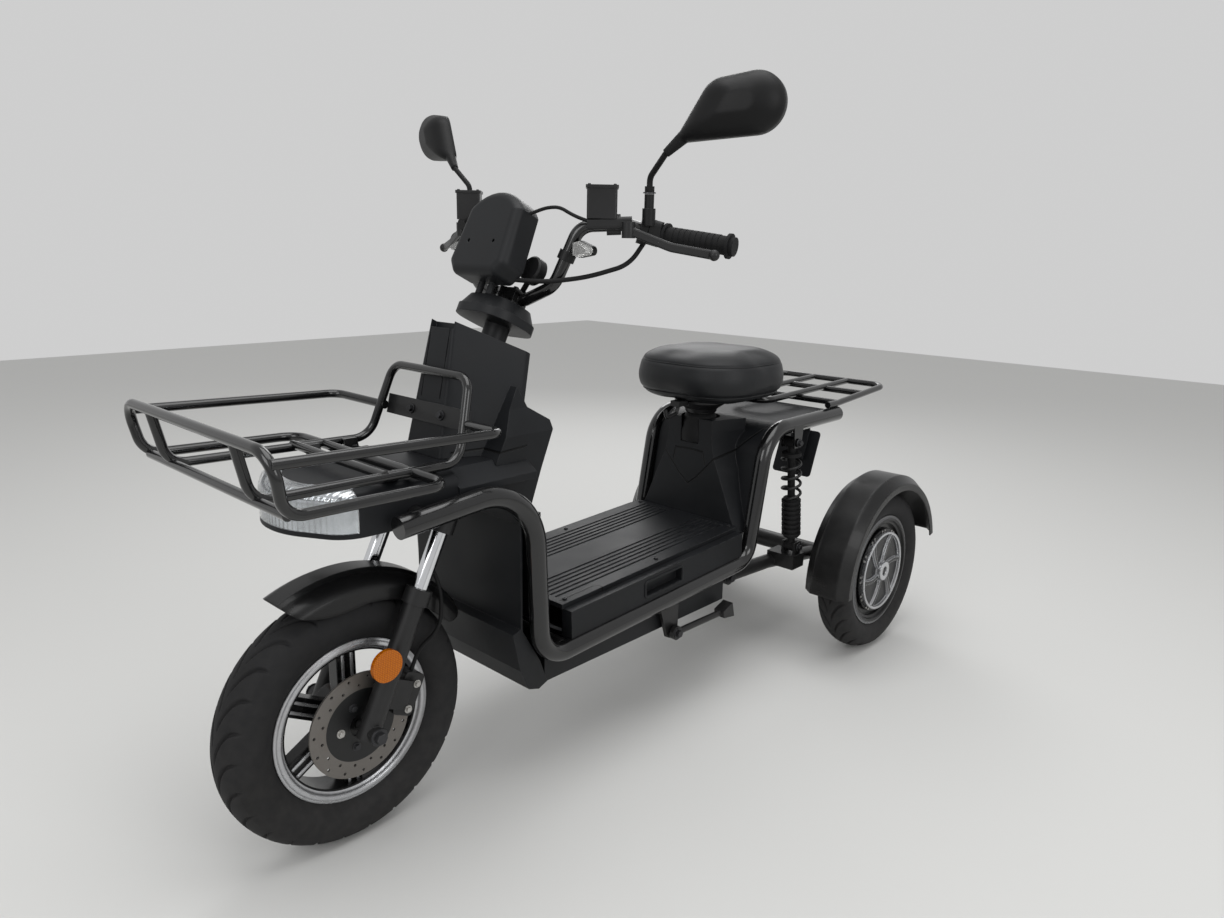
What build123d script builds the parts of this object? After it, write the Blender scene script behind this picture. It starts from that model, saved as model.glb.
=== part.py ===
# Three-wheeled electric cargo scooter: one steered front wheel, two rear hub motor wheels,
# a flat foot floor, a front and a rear rack, one saddle and motorcycle bars.
# Millimetres. X points forward, Y to the left and Z up. The ground is Z = 0, and the origin
# is below the middle of the overall length and width.
import os
from math import cos, radians, sin, tan

from build123d import *

os.makedirs("parts", exist_ok=True)

# Wheels and stance
wheelbase = 1318
rear_track = 554
front_tyre_od = 436
front_tyre_width = 92
rear_tyre_od = 408
rear_tyre_width = 84
rim_lip_od = 281
rim_seat_od = 253
rim_width = 66
rim_lip_thickness = 5
rim_wall = 7
hub_length = 84
hub_od = 84
spoke_count = 6
rotor_od = 182
rotor_band_id = 124
rotor_thickness = 3.5
rotor_offset = 48
rotor_hole_count = 15
rotor_seat_od = 70
motor_od = 214
hub_cover_od = 200
hub_cover_depth = 9
hub_blade_count = 6
rear_overhang = 240

# Steering
rake = 26
axis_offset = 30
stanchion_od = 27
fork_leg_od = 36
fork_leg_spread = 150
fork_leg_length = 214
fork_collar_od = 45
fork_collar_length = 26
stanchion_length = 372
yoke_height = 34
yoke_clamp_od = 44
steerer_od = 25.4
head_tube_od = 46
head_tube_start = 430
head_tube_length = 215
shield_top_along = 674
cap_start_along = 710
cap_width = 132
cap_length = 124
cap_behind = 20
cap_rim_height = 16
cap_dome_height = 22
cap_dome_inset = 14
locknut_od = 46
front_axle_od = 15
caliper_height = 74
caliper_top = 99
axle_nut_od = 26
reflector_od = 54
reflector_along = 115
reflector_ahead = 36
front_guard_radius = 258
front_guard_width = 110
front_guard_ridge = 40
front_guard_ridge_height = 5
front_guard_drop = 25
front_guard_thickness = 3

# Frame
frame_tube_od = 36
frame_half_width = 163
floor_tube_height = 266
floor_rise = 28
arch_height = 600
deck_tube_height = 588
cross_tube_od = 28
deck_cross_od = 22
down_tube_od = 28

# Body
floor_half_width = 148
floor_top_over_tube = 84
floor_thickness = 9
floor_groove_depth = 2
floor_groove_width = 6
panel_thickness = 4
belly_bottom = 208
belly_half_width = 142
battery_length = 400
battery_width = 210
battery_height = 52
nose_half_width = 128
nose_under_arch = 34
nose_height = 70
nose_round = 20
nose_reach = 104
lens_thickness = 2.5
lens_back = 30
lens_depth = 5.5
wing_half_width = 121
wing_top = 115
shield_foot_under_nose = 30
shield_height = 274
shield_front_low = 162.6
shield_front_high = 222.8
saddle_length = 310
saddle_width = 320
saddle_height = 112
saddle_over_deck = 43
tower_wall = 4
tower_front = 408
tower_foot_half_width = 140
tower_neck_half_width = 62
seat_post_od = 60
seat_post_back = 370
seat_post_foot = 520

# Racks
rack_tube_od = 16
rack_over_nose = 19
rack_wall_height = 85
rack_strap_thickness = 4
rack_branch_less = 0.5
rack_rail_half_width = 241
rack_deck_half_width = 222
rack_inner_half_width = 138
rack_front_reach = 206
rear_rack_rise = 17.7
rear_rack_inner = 52

# Handlebar
bar_od = 22.2
grip_od = 33
grip_length = 122
grip_flange_place = 6
grip_flange_width = 5
bar_over_cap = 14
bar_knee_half = 106
bar_knee_rise = 28
bar_shoulder_half = 140
bar_shoulder_rise = 128
bar_shoulder_back = 42
bar_elbow_half = 195
bar_elbow_rise = 132
bar_elbow_back = 95
grip_half_width = 362
grip_rise = 115
grip_back = 138
grip_drop = 16
grip_sweep = 33
clamp_width = 70
clamp_length = 34
clamp_od = 42
reservoir_length = 50
reservoir_width = 44
reservoir_height = 40
mirror_depth = 45
mirror_yaw = 21
mirror_rise = 181
mirror_out = 150
mirror_back = 46
mirror_wall = 3
pod_over_bar = 7
pod_height = 155
pod_half_width = 75
pod_crown_half_width = 66
pod_depth = 50
pod_behind = -16
pod_round = 16
signal_length = 40
signal_depth = 24

# Rear suspension
swing_tube_od = 34
swing_pivot_od = 36
swing_cheek_half = 84
swing_arm_half = 118
axle_tube_od = 46
shock_half_spread = 163
shock_cover_od = 46
shock_eye_od = 26
shock_eye_length = 26
shock_pin_od = 12
shock_cheek = 5
shock_top_back = 228
shock_top_height = 546
shock_foot_back = 196
shock_foot_height = 281
spring_od = 50
spring_wire = 7
spring_turns = 4
rear_guard_radius = 246
rear_guard_width = 114
rear_guard_shift = 9
rear_guard_thickness = 3
rear_guard_front = 92
rear_guard_back = 76

# Fits
held_gap = 0.3
running_gap = 0.05
seat_gap = 0.3

# Places that follow from the sizes above
front_reach = front_tyre_od / 2
front_axle_x = (wheelbase + rear_overhang - front_reach) / 2
rear_axle_x = front_axle_x - wheelbase
front_axle_z = front_tyre_od / 2
rear_axle_z = rear_tyre_od / 2
wheel_half_track = rear_track / 2
tube_r = frame_tube_od / 2
rotor_face = rotor_offset - rotor_thickness / 2
rack_r = rack_tube_od / 2
fork_half = fork_leg_spread / 2
nose_bottom = arch_height - nose_under_arch
nose_top = nose_bottom + nose_height
rack_deck_height = nose_top + rack_over_nose
rack_plate_height = nose_top + 72
shield_foot = nose_top - shield_foot_under_nose
shield_lean = shield_front_high - shield_front_low
rack_top_height = rack_deck_height + rack_wall_height
saddle_bottom = deck_tube_height + tube_r + saddle_over_deck
cap_top_along = cap_start_along + cap_rim_height + cap_dome_height
bar_along = cap_top_along + bar_over_cap


# Points by their distance from the front axle or from the rear axle
def fore(x, y, z):
    return Vector(front_axle_x + x, y, z)


def aft(x, y, z):
    return Vector(rear_axle_x + x, y, z)


# A point of the steering: along the axis from beside the axle, behind it and to the left
def steer_point(along, behind=0.0, left=0.0):
    x = front_axle_x - along * sin(radians(rake)) - behind * cos(radians(rake))
    z = front_axle_z + along * cos(radians(rake)) - behind * sin(radians(rake))
    return Vector(x, left, z)


steer_up = Vector(-sin(radians(rake)), 0, cos(radians(rake)))
steer_back = Vector(-cos(radians(rake)), 0, -sin(radians(rake)))


# A plane square to the steering axis, its local x pointing left
def steer_plane(along, behind=0.0, left=0.0):
    return Plane(origin=steer_point(along, behind, left), x_dir=(0, 1, 0), z_dir=steer_up)


def steer_rod(radius, start, end, behind=0.0, left=0.0):
    return extrude(steer_plane(start, behind, left) * Circle(radius), end - start)


def tube(points, bends, radius):
    path = FilletPolyline(*points, radius=bends) if len(points) > 2 else Line(*points)
    return sweep(Plane(origin=path @ 0, z_dir=path % 0) * Circle(radius), path=path)


def rod(start, end, radius):
    return tube([start, end], 0, radius)


def mirrored(shape):
    return mirror(shape, Plane.XZ)


def both(shape):
    return shape + mirrored(shape)


# A closed outline in X and Z, given as points from the front axle, made this wide
def side_plate(points, width, middle=0.0):
    face = make_face(Polyline(*[fore(x, middle - width / 2, z) for x, z in points], close=True))
    return extrude(face, width, dir=(0, 1, 0))


def ring(outer, inner, width, middle=0.0):
    face = Circle(outer) - Circle(inner)
    return extrude(Plane(origin=(0, middle - width / 2, 0), z_dir=(0, 1, 0)) * face, width)


def disc(radius, width, middle=0.0):
    return extrude(Plane(origin=(0, middle - width / 2, 0), z_dir=(0, 1, 0)) * Circle(radius), width)


# A turned shape about the Y axis from an outline of (y, radius) points
def turned(points):
    return revolve(make_face(Polyline(*[(0, y, r) for y, r in points], close=True)), Axis.Y, 360)


# A closed outline with rounded corners, the radius of each corner given or one for all
def rounded_outline(points, corners):
    return make_face(FilletPolyline(*points, radius=corners, close=True))


# A bar of rectangular section between two points, its width level
def flat_bar(start, end, width, thickness):
    along = (end - start).normalized()
    level = along.cross(Vector(0, 0, 1)).normalized()
    return extrude(Plane(origin=start, x_dir=level, z_dir=along) * Rectangle(width, thickness), (end - start).length)


parts = {}


def keep(name, shape):
    shape.label = name
    parts[name] = shape


# Tyre: a bead that sits between the rim's lips, bulged walls and a round crown
def tyre(od, width):
    bead_half = rim_width / 2 - rim_lip_thickness - seat_gap
    bead = rim_seat_od / 2 + seat_gap
    lip = rim_lip_od / 2 + seat_gap
    shoulder = Vector(0, width * 0.42, od / 2 - width * 0.16)
    wall = Vector(0, width / 2, (lip + od / 2) / 2)
    foot = Vector(0, bead_half, lip)
    left = [foot, wall, shoulder]
    right = [Vector(0, -p.Y, p.Z) for p in left]
    section = Polyline((0, -bead_half, lip), (0, -bead_half, bead), (0, bead_half, bead), (0, bead_half, lip))
    section += ThreePointArc(left[0], left[1], left[2])
    section += ThreePointArc(left[2], (0, 0, od / 2), right[2])
    section += ThreePointArc(right[2], right[1], right[0])
    return revolve(make_face(section), Axis.Y, 360)


# Rim: a barrel between two stepped lips
def rim():
    half = rim_width / 2
    seat = rim_seat_od / 2
    lip = rim_lip_od / 2
    inside = half - rim_lip_thickness
    step = 2
    left = [(inside, seat), (inside, lip), (half - step, lip), (half - step, lip - 5), (half, lip - 5),
            (half, lip - 12), (half - 6, lip - 16), (half - 8, seat - rim_wall)]
    right = [(-y, r) for y, r in reversed(left)]
    return turned(left + right)


# Front wheel hub with its spokes, each spoke a tapered bar with two raised ridges
def spoked_hub():
    barrel = rim_seat_od / 2 - rim_wall - held_gap
    hub = disc(hub_od / 2, hub_length) + disc(rotor_seat_od / 2, rotor_face - held_gap, (rotor_face - held_gap) / 2)
    ridge = 5
    for index in range(spoke_count):
        spoke = Pos(0, 0, barrel / 2) * Box(34, 26, barrel)
        for side in (-1, 1):
            spoke += Pos(side * 8, 0, barrel / 2) * Box(ridge, 34, barrel)
        spoke -= disc(hub_od / 2 - 1, hub_length)
        spoke &= disc(barrel, hub_length)
        hub += Rot(0, index * 360 / spoke_count, 0) * spoke
    return hub - disc(front_axle_od / 2 + running_gap, 2 * rotor_face)


# Brake rotor on the left of the front hub, its band drilled in two rows
def rotor():
    band = ring(rotor_od / 2, rotor_band_id / 2, rotor_thickness, rotor_offset)
    carrier = ring(rotor_band_id / 2, 20, rotor_thickness, rotor_offset)
    disc_part = band + carrier
    rows = [(rotor_band_id / 2 + 8, 0.0), (rotor_od / 2 - 8, 0.5)]
    for radius, shift in rows:
        for index in range(rotor_hole_count):
            turn = (index + shift) * 360 / rotor_hole_count
            hole = Pos(0, rotor_offset, radius) * (Rot(90, 0, 0) * Cylinder(2.6, 3 * rotor_thickness))
            disc_part -= Rot(0, turn, 0) * hole
    return disc_part


# The front wheel's pieces, all about its axle
def front_wheel():
    place = Pos(front_axle_x, 0, front_axle_z)
    keep("front_tyre", place * tyre(front_tyre_od, front_tyre_width))
    keep("front_rim", place * rim())
    keep("front_hub", place * spoked_hub())
    keep("brake_rotor", place * rotor())


# Rear wheel: a rim closed by the motor's drum, and a cover with swept blades on the outside
def motor_wheel():
    web = disc(rim_seat_od / 2 - rim_wall + 1, 34)
    drum = disc(motor_od / 2, rim_width - 8)
    return rim() + web + drum - disc(front_axle_od / 2 + running_gap, rim_width + 2)


# Cover of a hub motor: a rimmed plate with curved blades that sweep out from a round cap
def hub_cover():
    face = rim_width / 2 - 4 + held_gap
    base = ring(hub_cover_od / 2, 12, 2, face + 1)
    rim_ring = ring(hub_cover_od / 2, hub_cover_od / 2 - 6, hub_cover_depth, face + hub_cover_depth / 2)
    cap = ring(24, 12, hub_cover_depth + 5, face + (hub_cover_depth + 5) / 2)
    reach = hub_cover_od / 2 - 3
    outline = ThreePointArc((-4, 18), (12, 0.62 * reach), (36, 0.92 * reach)) + Line((36, 0.92 * reach), (48, 0.86 * reach))
    outline += ThreePointArc((48, 0.86 * reach), (21, 0.58 * reach), (6, 18)) + Line((6, 18), (-4, 18))
    plane = Plane(origin=(0, face, 0), x_dir=(1, 0, 0), z_dir=(0, 1, 0))
    blade = extrude(plane * make_face(outline), hub_cover_depth - 1)
    cover = base + rim_ring + cap
    for index in range(hub_blade_count):
        cover += Rot(0, index * 360 / hub_blade_count, 0) * blade
    return cover


# Both rear wheels, the right one's cover mirrored
def rear_wheels():
    for name, side in (("left", 1), ("right", -1)):
        place = Pos(rear_axle_x, side * wheel_half_track, rear_axle_z)
        keep(f"rear_tyre_{name}", place * tyre(rear_tyre_od, rear_tyre_width))
        keep(f"motor_wheel_{name}", place * motor_wheel())
        cover = hub_cover() if side > 0 else mirrored(hub_cover())
        keep(f"hub_cover_{name}", place * cover)


# Side tube of the frame: along the nose, over the wheel arch, down, along the floor and up
# behind the seat tower, then back under the rear rack
def side_tube_points(y):
    floor_front = floor_tube_height
    floor_back = floor_tube_height + floor_rise
    return [fore(-12, y, arch_height - 20), fore(-277, y, arch_height + 3), fore(-294, y, floor_front),
            aft(390, y, floor_back), aft(334, y, deck_tube_height - 2), aft(22, y, deck_tube_height)]


side_tube_bends = [112, 62, 50, 84]


def side_tube(y, radius):
    return tube(side_tube_points(y), side_tube_bends, radius)


def side_tubes(radius):
    return side_tube(frame_half_width, radius) + side_tube(-frame_half_width, radius)


# Side tube with the two cheeks that hold the shock absorber's upper eye
def frame_side(side):
    eye = aft(shock_top_back, side * frame_half_width, shock_top_height)
    cheek = [(-20, deck_tube_height), (20, deck_tube_height), (14, shock_top_height - 12), (-14, shock_top_height - 12)]
    cheek = [(x + shock_top_back - wheelbase, z) for x, z in cheek]
    tube_part = side_tube(side * frame_half_width, tube_r)
    for inner in (-1, 1):
        offset = shock_eye_length / 2 + held_gap + shock_cheek / 2
        tube_part += side_plate(cheek, shock_cheek, side * frame_half_width + inner * offset)
    pin = rod(eye - Vector(0, 30, 0), eye + Vector(0, 30, 0), shock_pin_od / 2 + held_gap)
    return tube_part - pin


# Cross tubes between the side tubes, each given by its place and radius
def cross_places():
    floor_back = floor_tube_height + floor_rise
    low = deck_tube_height - 10
    return [(fore(-60, 0, arch_height - 16), cross_tube_od / 2), (fore(-360, 0, floor_tube_height + 3), cross_tube_od / 2),
            (aft(640, 0, floor_tube_height + 14), cross_tube_od / 2), (aft(440, 0, floor_back - 2), cross_tube_od / 2),
            (aft(290, 0, low), deck_cross_od / 2), (aft(50, 0, low), deck_cross_od / 2)]


def cross_tubes(extra):
    cross = Part()
    for place, radius in cross_places():
        reach = Vector(0, frame_half_width - 4, 0)
        cross += rod(place - reach, place + reach, radius + extra)
    return cross


# Middle of the swingarm's pivot, behind the belly
swing_pivot = aft(406, 0, 246)


# Cross tubes with the two cheeks that hold the swingarm's pivot
def frame_cross():
    cross = cross_tubes(0)
    cheek = [(420, 296), (456, 296), (440, 236), (412, 222), (388, 226), (380, 250), (394, 270)]
    cheek = [(x - wheelbase, z) for x, z in cheek]
    for side in (-1, 1):
        cross += side_plate(cheek, 8, side * swing_cheek_half)
    reach = Vector(0, frame_half_width, 0)
    cross -= rod(swing_pivot - reach, swing_pivot + reach, swing_pivot_od / 2 + held_gap)
    return cross - side_tubes(tube_r + held_gap)


# Head tube with the tubes that tie it down to the floor and forward to the nose
def head_frame(extra):
    start = head_tube_start
    end = head_tube_start + head_tube_length
    foot, foot_radius = cross_places()[1]
    head = steer_rod(head_tube_od / 2 + extra, start, end, axis_offset)
    top = steer_point(start + 60, axis_offset)
    down = tube([top, fore(-281, 0, 520), fore(-281, 0, 330), foot + Vector(16, 0, 12)], [60, 40], down_tube_od / 2 + extra)
    nose_place = cross_places()[0][0]
    spine = rod(steer_point(start + 24, axis_offset), nose_place + Vector(0, 0, 12), 11 + extra)
    frame_part = head + down + spine
    if extra:
        return frame_part
    frame_part -= cross_tubes(held_gap)
    return frame_part - steer_rod(steerer_od / 2 + running_gap, start - 60, end + 60, axis_offset)


# The frame's welded pieces
def frame():
    keep("frame_tube_left", frame_side(1))
    keep("frame_tube_right", frame_side(-1))
    keep("frame_cross_tubes", frame_cross())
    keep("head_tube", head_frame(0))


# Fork: steerer and yoke, chrome stanchions, sliders with collars and the wheel's axle
def fork():
    yoke_start = stanchion_length - yoke_height
    steerer_top = bar_along - bar_od / 2 - 4
    steerer = steer_rod(steerer_od / 2, stanchion_length - 4, steerer_top, axis_offset)
    bridge_plane = steer_plane(yoke_start)
    bridge = extrude(bridge_plane * Rectangle(fork_leg_spread, 26), yoke_height - 6)
    neck = steer_rod(yoke_clamp_od / 2, yoke_start, stanchion_length + 6, axis_offset)
    neck += extrude(steer_plane(yoke_start, axis_offset / 2) * Rectangle(60, axis_offset + 16), yoke_height - 6)
    yoke = steerer + bridge + neck
    for side in (-1, 1):
        yoke += steer_rod(yoke_clamp_od / 2, yoke_start, stanchion_length, 0, side * fork_half)
    for side in (-1, 1):
        yoke -= steer_rod(stanchion_od / 2 + seat_gap, 0, stanchion_length - 5, 0, side * fork_half)
    keep("fork_yoke", yoke)

    tubes = Part()
    legs = Part()
    for side in (-1, 1):
        y = side * fork_half
        tubes += steer_rod(stanchion_od / 2, fork_leg_length - 40, stanchion_length - 5 - held_gap, 0, y)
        leg = steer_rod(fork_leg_od / 2, -14, fork_leg_length, 0, y)
        leg += steer_rod(fork_collar_od / 2, fork_leg_length, fork_leg_length + fork_collar_length, 0, y)
        leg -= steer_rod(stanchion_od / 2 + running_gap, fork_leg_length - 40 - held_gap, stanchion_length, 0, y)
        legs += leg
    axle = Pos(front_axle_x, 0, front_axle_z) * disc(front_axle_od / 2, fork_leg_spread + fork_leg_od + 16)
    nut_middle = fork_half + fork_leg_od / 2 + 2
    for side in (-1, 1):
        axle += Pos(front_axle_x, 0, front_axle_z) * disc(axle_nut_od / 2, 16, side * nut_middle)
    keep("fork_stanchions", tubes)
    keep("fork_legs", legs + axle)


# A wedge about the Y axis that keeps a wheel's sector from the front angle to the back angle,
# both measured from straight up
def sector(front_angle, back_angle, reach, half):
    def at(angle, side):
        return (side * reach * sin(radians(angle)), reach * cos(radians(angle)))

    corners = [(0, 0), at(front_angle, 1), (reach, reach), (-reach, reach), at(back_angle, -1)]
    return extrude(Plane.XZ * make_face(Polyline(*corners, close=True)), half, both=True)


# Front mudguard: a crowned shell with a raised middle band, its skirt cut to a pointed front
def guard_section(outer, half, ridge_half, ridge_height, drop, skirt):
    shoulder = outer - drop
    band = outer - ridge_height
    arc_half = (half + ridge_half + 6) / 2
    section = Polyline((ridge_half + 6, band), (ridge_half, outer), (-ridge_half, outer), (-ridge_half - 6, band))
    section += ThreePointArc((-ridge_half - 6, band), (-arc_half - 4, band - 0.3 * drop), (-half, shoulder))
    section += Polyline((-half, shoulder), (-half, skirt), (half, skirt), (half, shoulder))
    section += ThreePointArc((half, shoulder), (arc_half + 4, band - 0.3 * drop), (ridge_half + 6, band))
    return make_face(section)


# A hollow ring with this section, its wall on the inside
def guard_shell(section, wall):
    return revolve(Plane.YZ * (section - offset(section, amount=-wall)), Axis.Y, 360)


# The front shell cut to its side outline, with room for the fork's collars
def front_guard():
    section = guard_section(front_guard_radius, front_guard_width / 2, front_guard_ridge / 2,
                            front_guard_ridge_height, front_guard_drop, 150)
    shell = Pos(front_axle_x, 0, front_axle_z) * guard_shell(section, front_guard_thickness)
    outline = [(122, 458), (96, 434), (57, 423), (20, 421), (-23, 427), (-68, 421), (-120, 395), (-180, 341),
               (-212, 360), (-290, 560), (130, 560)]
    profile = rounded_outline([fore(x, 0, z) for x, z in outline], [4, 60, 120, 120, 120, 120, 60, 14, 14, 20, 20])
    guard = shell & extrude(profile, front_guard_width, both=True)
    top = fork_leg_length + fork_collar_length + 1
    for side in (-1, 1):
        guard -= steer_rod(fork_collar_od / 2 + held_gap, 0, top, 0, side * fork_half)
    return guard


# Reflectors on the outside of the fork legs, each on its own short boss
def reflectors():
    both_sides = Part()
    for side in (-1, 1):
        middle = steer_point(reflector_along, -reflector_ahead)
        boss = steer_point(reflector_along, -14)
        start = fork_half + 8
        end = fork_half + fork_leg_od / 2 + 9
        lamp = Pos(middle.X, 0, middle.Z) * disc(reflector_od / 2, 7, side * (end + 3.5))
        lamp += Pos(boss.X, 0, boss.Z) * disc(8, end - start + 1, side * (start + end + 1) / 2)
        lamp -= steer_rod(fork_leg_od / 2 + held_gap, -20, fork_leg_length, 0, side * fork_half)
        both_sides += lamp
    return both_sides


# Brake caliper behind the left fork leg, astride the rotor's edge
def caliper():
    middle = steer_point(caliper_top - caliper_height / 2, 62)
    plane = Plane(origin=(middle.X, rotor_offset - 17, middle.Z), x_dir=steer_up, z_dir=(0, 1, 0))
    body = extrude(plane * RectangleRounded(caliper_height, 40, 8), 34)
    gap = Pos(front_axle_x, 0, front_axle_z) * disc(rotor_od / 2 + 4, 10, rotor_offset)
    body -= gap
    arm_plane = Plane(origin=(middle.X, fork_half - 10, middle.Z), x_dir=steer_up, z_dir=(0, 1, 0))
    arm = extrude(arm_plane * Pos(0, 30) * Rectangle(50, 50), 10)
    caliper_part = body + arm
    caliper_part -= steer_rod(fork_leg_od / 2 + held_gap, -20, fork_leg_length, 0, fork_half)
    return caliper_part


# Cap over the top of the leg shield, turning with the bars, on a locknut round the steerer
def headset_cap():
    rim_start = steer_plane(cap_start_along, cap_behind)
    dome_start = rim_start.offset(cap_rim_height)
    corner = 0.4 * cap_length
    rim = extrude(rim_start * RectangleRounded(cap_width, cap_length, corner), cap_rim_height)
    foot = dome_start * RectangleRounded(cap_width - 4, cap_length - 4, corner - 2)
    inset = 2 * cap_dome_inset
    crown = dome_start.offset(cap_dome_height) * RectangleRounded(cap_width - inset, cap_length - inset, corner - cap_dome_inset)
    nut = steer_rod(locknut_od / 2, shield_top_along + 6, cap_start_along, axis_offset)
    cap = rim + loft([foot, crown], ruled=True) + nut
    return cap - steer_rod(steerer_od / 2 + held_gap, shield_top_along, cap_top_along + 1, axis_offset)


# Handlebar points, from the clamp up past the knee, shoulder and elbow to the grip's end
def bar_points():
    middle = steer_point(bar_along, axis_offset)
    return [middle, middle + Vector(-6, 40, 0), middle + Vector(-15, bar_knee_half, bar_knee_rise),
            middle + Vector(-bar_shoulder_back, bar_shoulder_half, bar_shoulder_rise),
            middle + Vector(-bar_elbow_back, bar_elbow_half, bar_elbow_rise),
            middle + Vector(-grip_back, grip_half_width - grip_length, grip_rise),
            middle + Vector(-grip_back - grip_sweep, grip_half_width, grip_rise - grip_drop)]


# The bent bar, from grip end to grip end
def bar_tube(radius):
    left = bar_points()[1:]
    right = [Vector(p.X, -p.Y, p.Z) for p in reversed(left)]
    bends = [36, 42, 34, 60, 60]
    return tube(right + left, bends[::-1] + bends, radius)


# Post and block that carry the bar on the steerer
def bar_clamp(extra):
    block_top = bar_along + bar_od / 2 + 6
    post = steer_rod(clamp_od / 2 + extra, cap_top_along + held_gap, block_top, axis_offset)
    block = steer_plane(cap_top_along + held_gap, axis_offset) * Rectangle(clamp_width + 2 * extra, clamp_length + 2 * extra)
    return post + extrude(block, block_top - cap_top_along - held_gap)


# Bar and clamp in one, bored for the steerer's end
def handlebar():
    steerer = steer_rod(steerer_od / 2 + held_gap, 0, bar_along - bar_od / 2 - 4 + held_gap, axis_offset)
    return bar_tube(bar_od / 2) + bar_clamp(0) - steerer


# A plane square to the bar, this far from one bar point towards another: x forward, y up
def bar_station(start, end, distance):
    origin, aim = bar_points()[start], bar_points()[end]
    along = (aim - origin).normalized()
    return Plane(origin=origin + along * distance, x_dir=Vector(0, 0, 1).cross(along).normalized(), z_dir=along)


# Which of the bar's points is which
shoulder = 3
elbow = 4
grip_start = 5
grip_end = 6


# Grip with its inner flange, its ribs and the weight on the bar's end
def grips():
    start, end = bar_points()[grip_start:]
    reach = (end - start).length

    def collar(place, radius, length):
        return extrude(bar_station(grip_start, grip_end, place) * Circle(radius), length)

    flange_end = grip_flange_place + grip_flange_width
    body = collar(grip_flange_place, grip_od / 2 + 5, grip_flange_width)
    body += collar(flange_end - 1, grip_od / 2 - 1, reach - flange_end + 5)
    rib_pitch = 10
    for index in range(9):
        body += collar(18 + index * rib_pitch, grip_od / 2, rib_pitch - 3)
    body += collar(reach - 8, grip_od / 2 + 4, 5)
    return both(body) - bar_tube(bar_od / 2 + held_gap)


# Ends of the boss that stands on the switch pod and holds the mirror
def mirror_boss():
    station = bar_station(grip_start, elbow, 20)
    foot = station.origin + Vector(16, 8, 10)
    return foot, foot + Vector(2, 2, 50)


# Switch pod inboard of each grip: two shells, a button block and the boss of the mirror
def switch_pods():
    pod_part = extrude(bar_station(grip_start, elbow, 3) * RectangleRounded(44, 42, 10), 22)
    pod_part += extrude(bar_station(grip_start, elbow, 25.5) * Pos(0, -2) * RectangleRounded(40, 44, 9), 14)
    pod_part += extrude(bar_station(grip_start, elbow, 8) * Pos(-24, 2) * RectangleRounded(10, 24, 4), 26)
    foot, top = mirror_boss()
    pod_part += rod(foot, top, 8)
    pod_part += rod(foot, foot + (top - foot) * 0.55, 11)
    past_grip = bar_station(grip_start, grip_end, grip_flange_place - held_gap) * Circle(3 * grip_od)
    pod_part -= extrude(past_grip, grip_length)
    return both(pod_part) - bar_tube(bar_od / 2 + held_gap)


# Brake lever: clamp on the bar, master cylinder, lidded square reservoir and the blade
def brake_levers():
    clamp_plane = bar_station(elbow, shoulder, 8)
    clamp = extrude(clamp_plane * RectangleRounded(34, 34, 8), 24)
    cylinder = extrude(bar_station(elbow, shoulder, -10) * Pos(24, 2) * RectangleRounded(20, 20, 6), 74)
    middle = bar_station(elbow, shoulder, 40)
    level = Plane(origin=middle.origin + middle.x_dir * 14 + Vector(0, 0, 10), x_dir=(-middle.z_dir.X, -middle.z_dir.Y, 0))
    tank = extrude(level * RectangleRounded(reservoir_length, reservoir_width, 4), 8 + reservoir_height)
    lid = extrude(level.offset(8 + reservoir_height) * RectangleRounded(reservoir_length + 4, reservoir_width + 4, 4), 5)
    pivot = bar_station(elbow, shoulder, -4)
    pivot = pivot.origin + pivot.x_dir * 34
    knuckle = Pos(pivot.X, pivot.Y, pivot.Z - 10) * Cylinder(11, 26)
    start, end = bar_points()[grip_start:]
    along = (end - start).normalized()
    forward = Vector(0, 0, 1).cross(along).normalized() * -1
    mid = start + along * 40 + forward * 52 + Vector(0, 0, -14)
    tip = end - along * 16 + forward * 40 + Vector(0, 0, -16)
    pivot = pivot - Vector(0, 0, 10)
    blade = sweep(Plane(origin=pivot, z_dir=mid - pivot, x_dir=(0, 0, 1)) * RectangleRounded(15, 7, 3),
                  path=FilletPolyline(pivot, mid, tip, radius=60))
    blade += Pos(tip.X, tip.Y, tip.Z) * Sphere(9)
    lever_part = clamp + cylinder + tank + lid + knuckle + blade
    return both(lever_part) - bar_tube(bar_od / 2 + held_gap)


# Mirrors: a bent stem from the switch pod's boss, and a drop-shaped head turned outwards
def mirror_plane():
    foot, top = mirror_boss()
    middle = top + Vector(-mirror_back, mirror_out, mirror_rise - 50)
    turn = radians(mirror_yaw)
    return Plane(origin=middle, x_dir=(-sin(turn), cos(turn), 0), z_dir=(cos(turn), sin(turn), 0))


# Where the stem meets the head, in the mirror's own plane
mirror_neck = (-92, -44)


# The head's outline is drawn round three circles: crown, inner end and neck
def mirror_outline(scale_by):
    circles = Sketch()
    edges = []
    for x, y, radius in [(18, 0, 46), (-30, -2, 41), (*mirror_neck, 10)]:
        edges += (Pos(x * scale_by, y * scale_by) * Edge.make_circle(radius * scale_by)).edges()
    return make_hull(edges)


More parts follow.
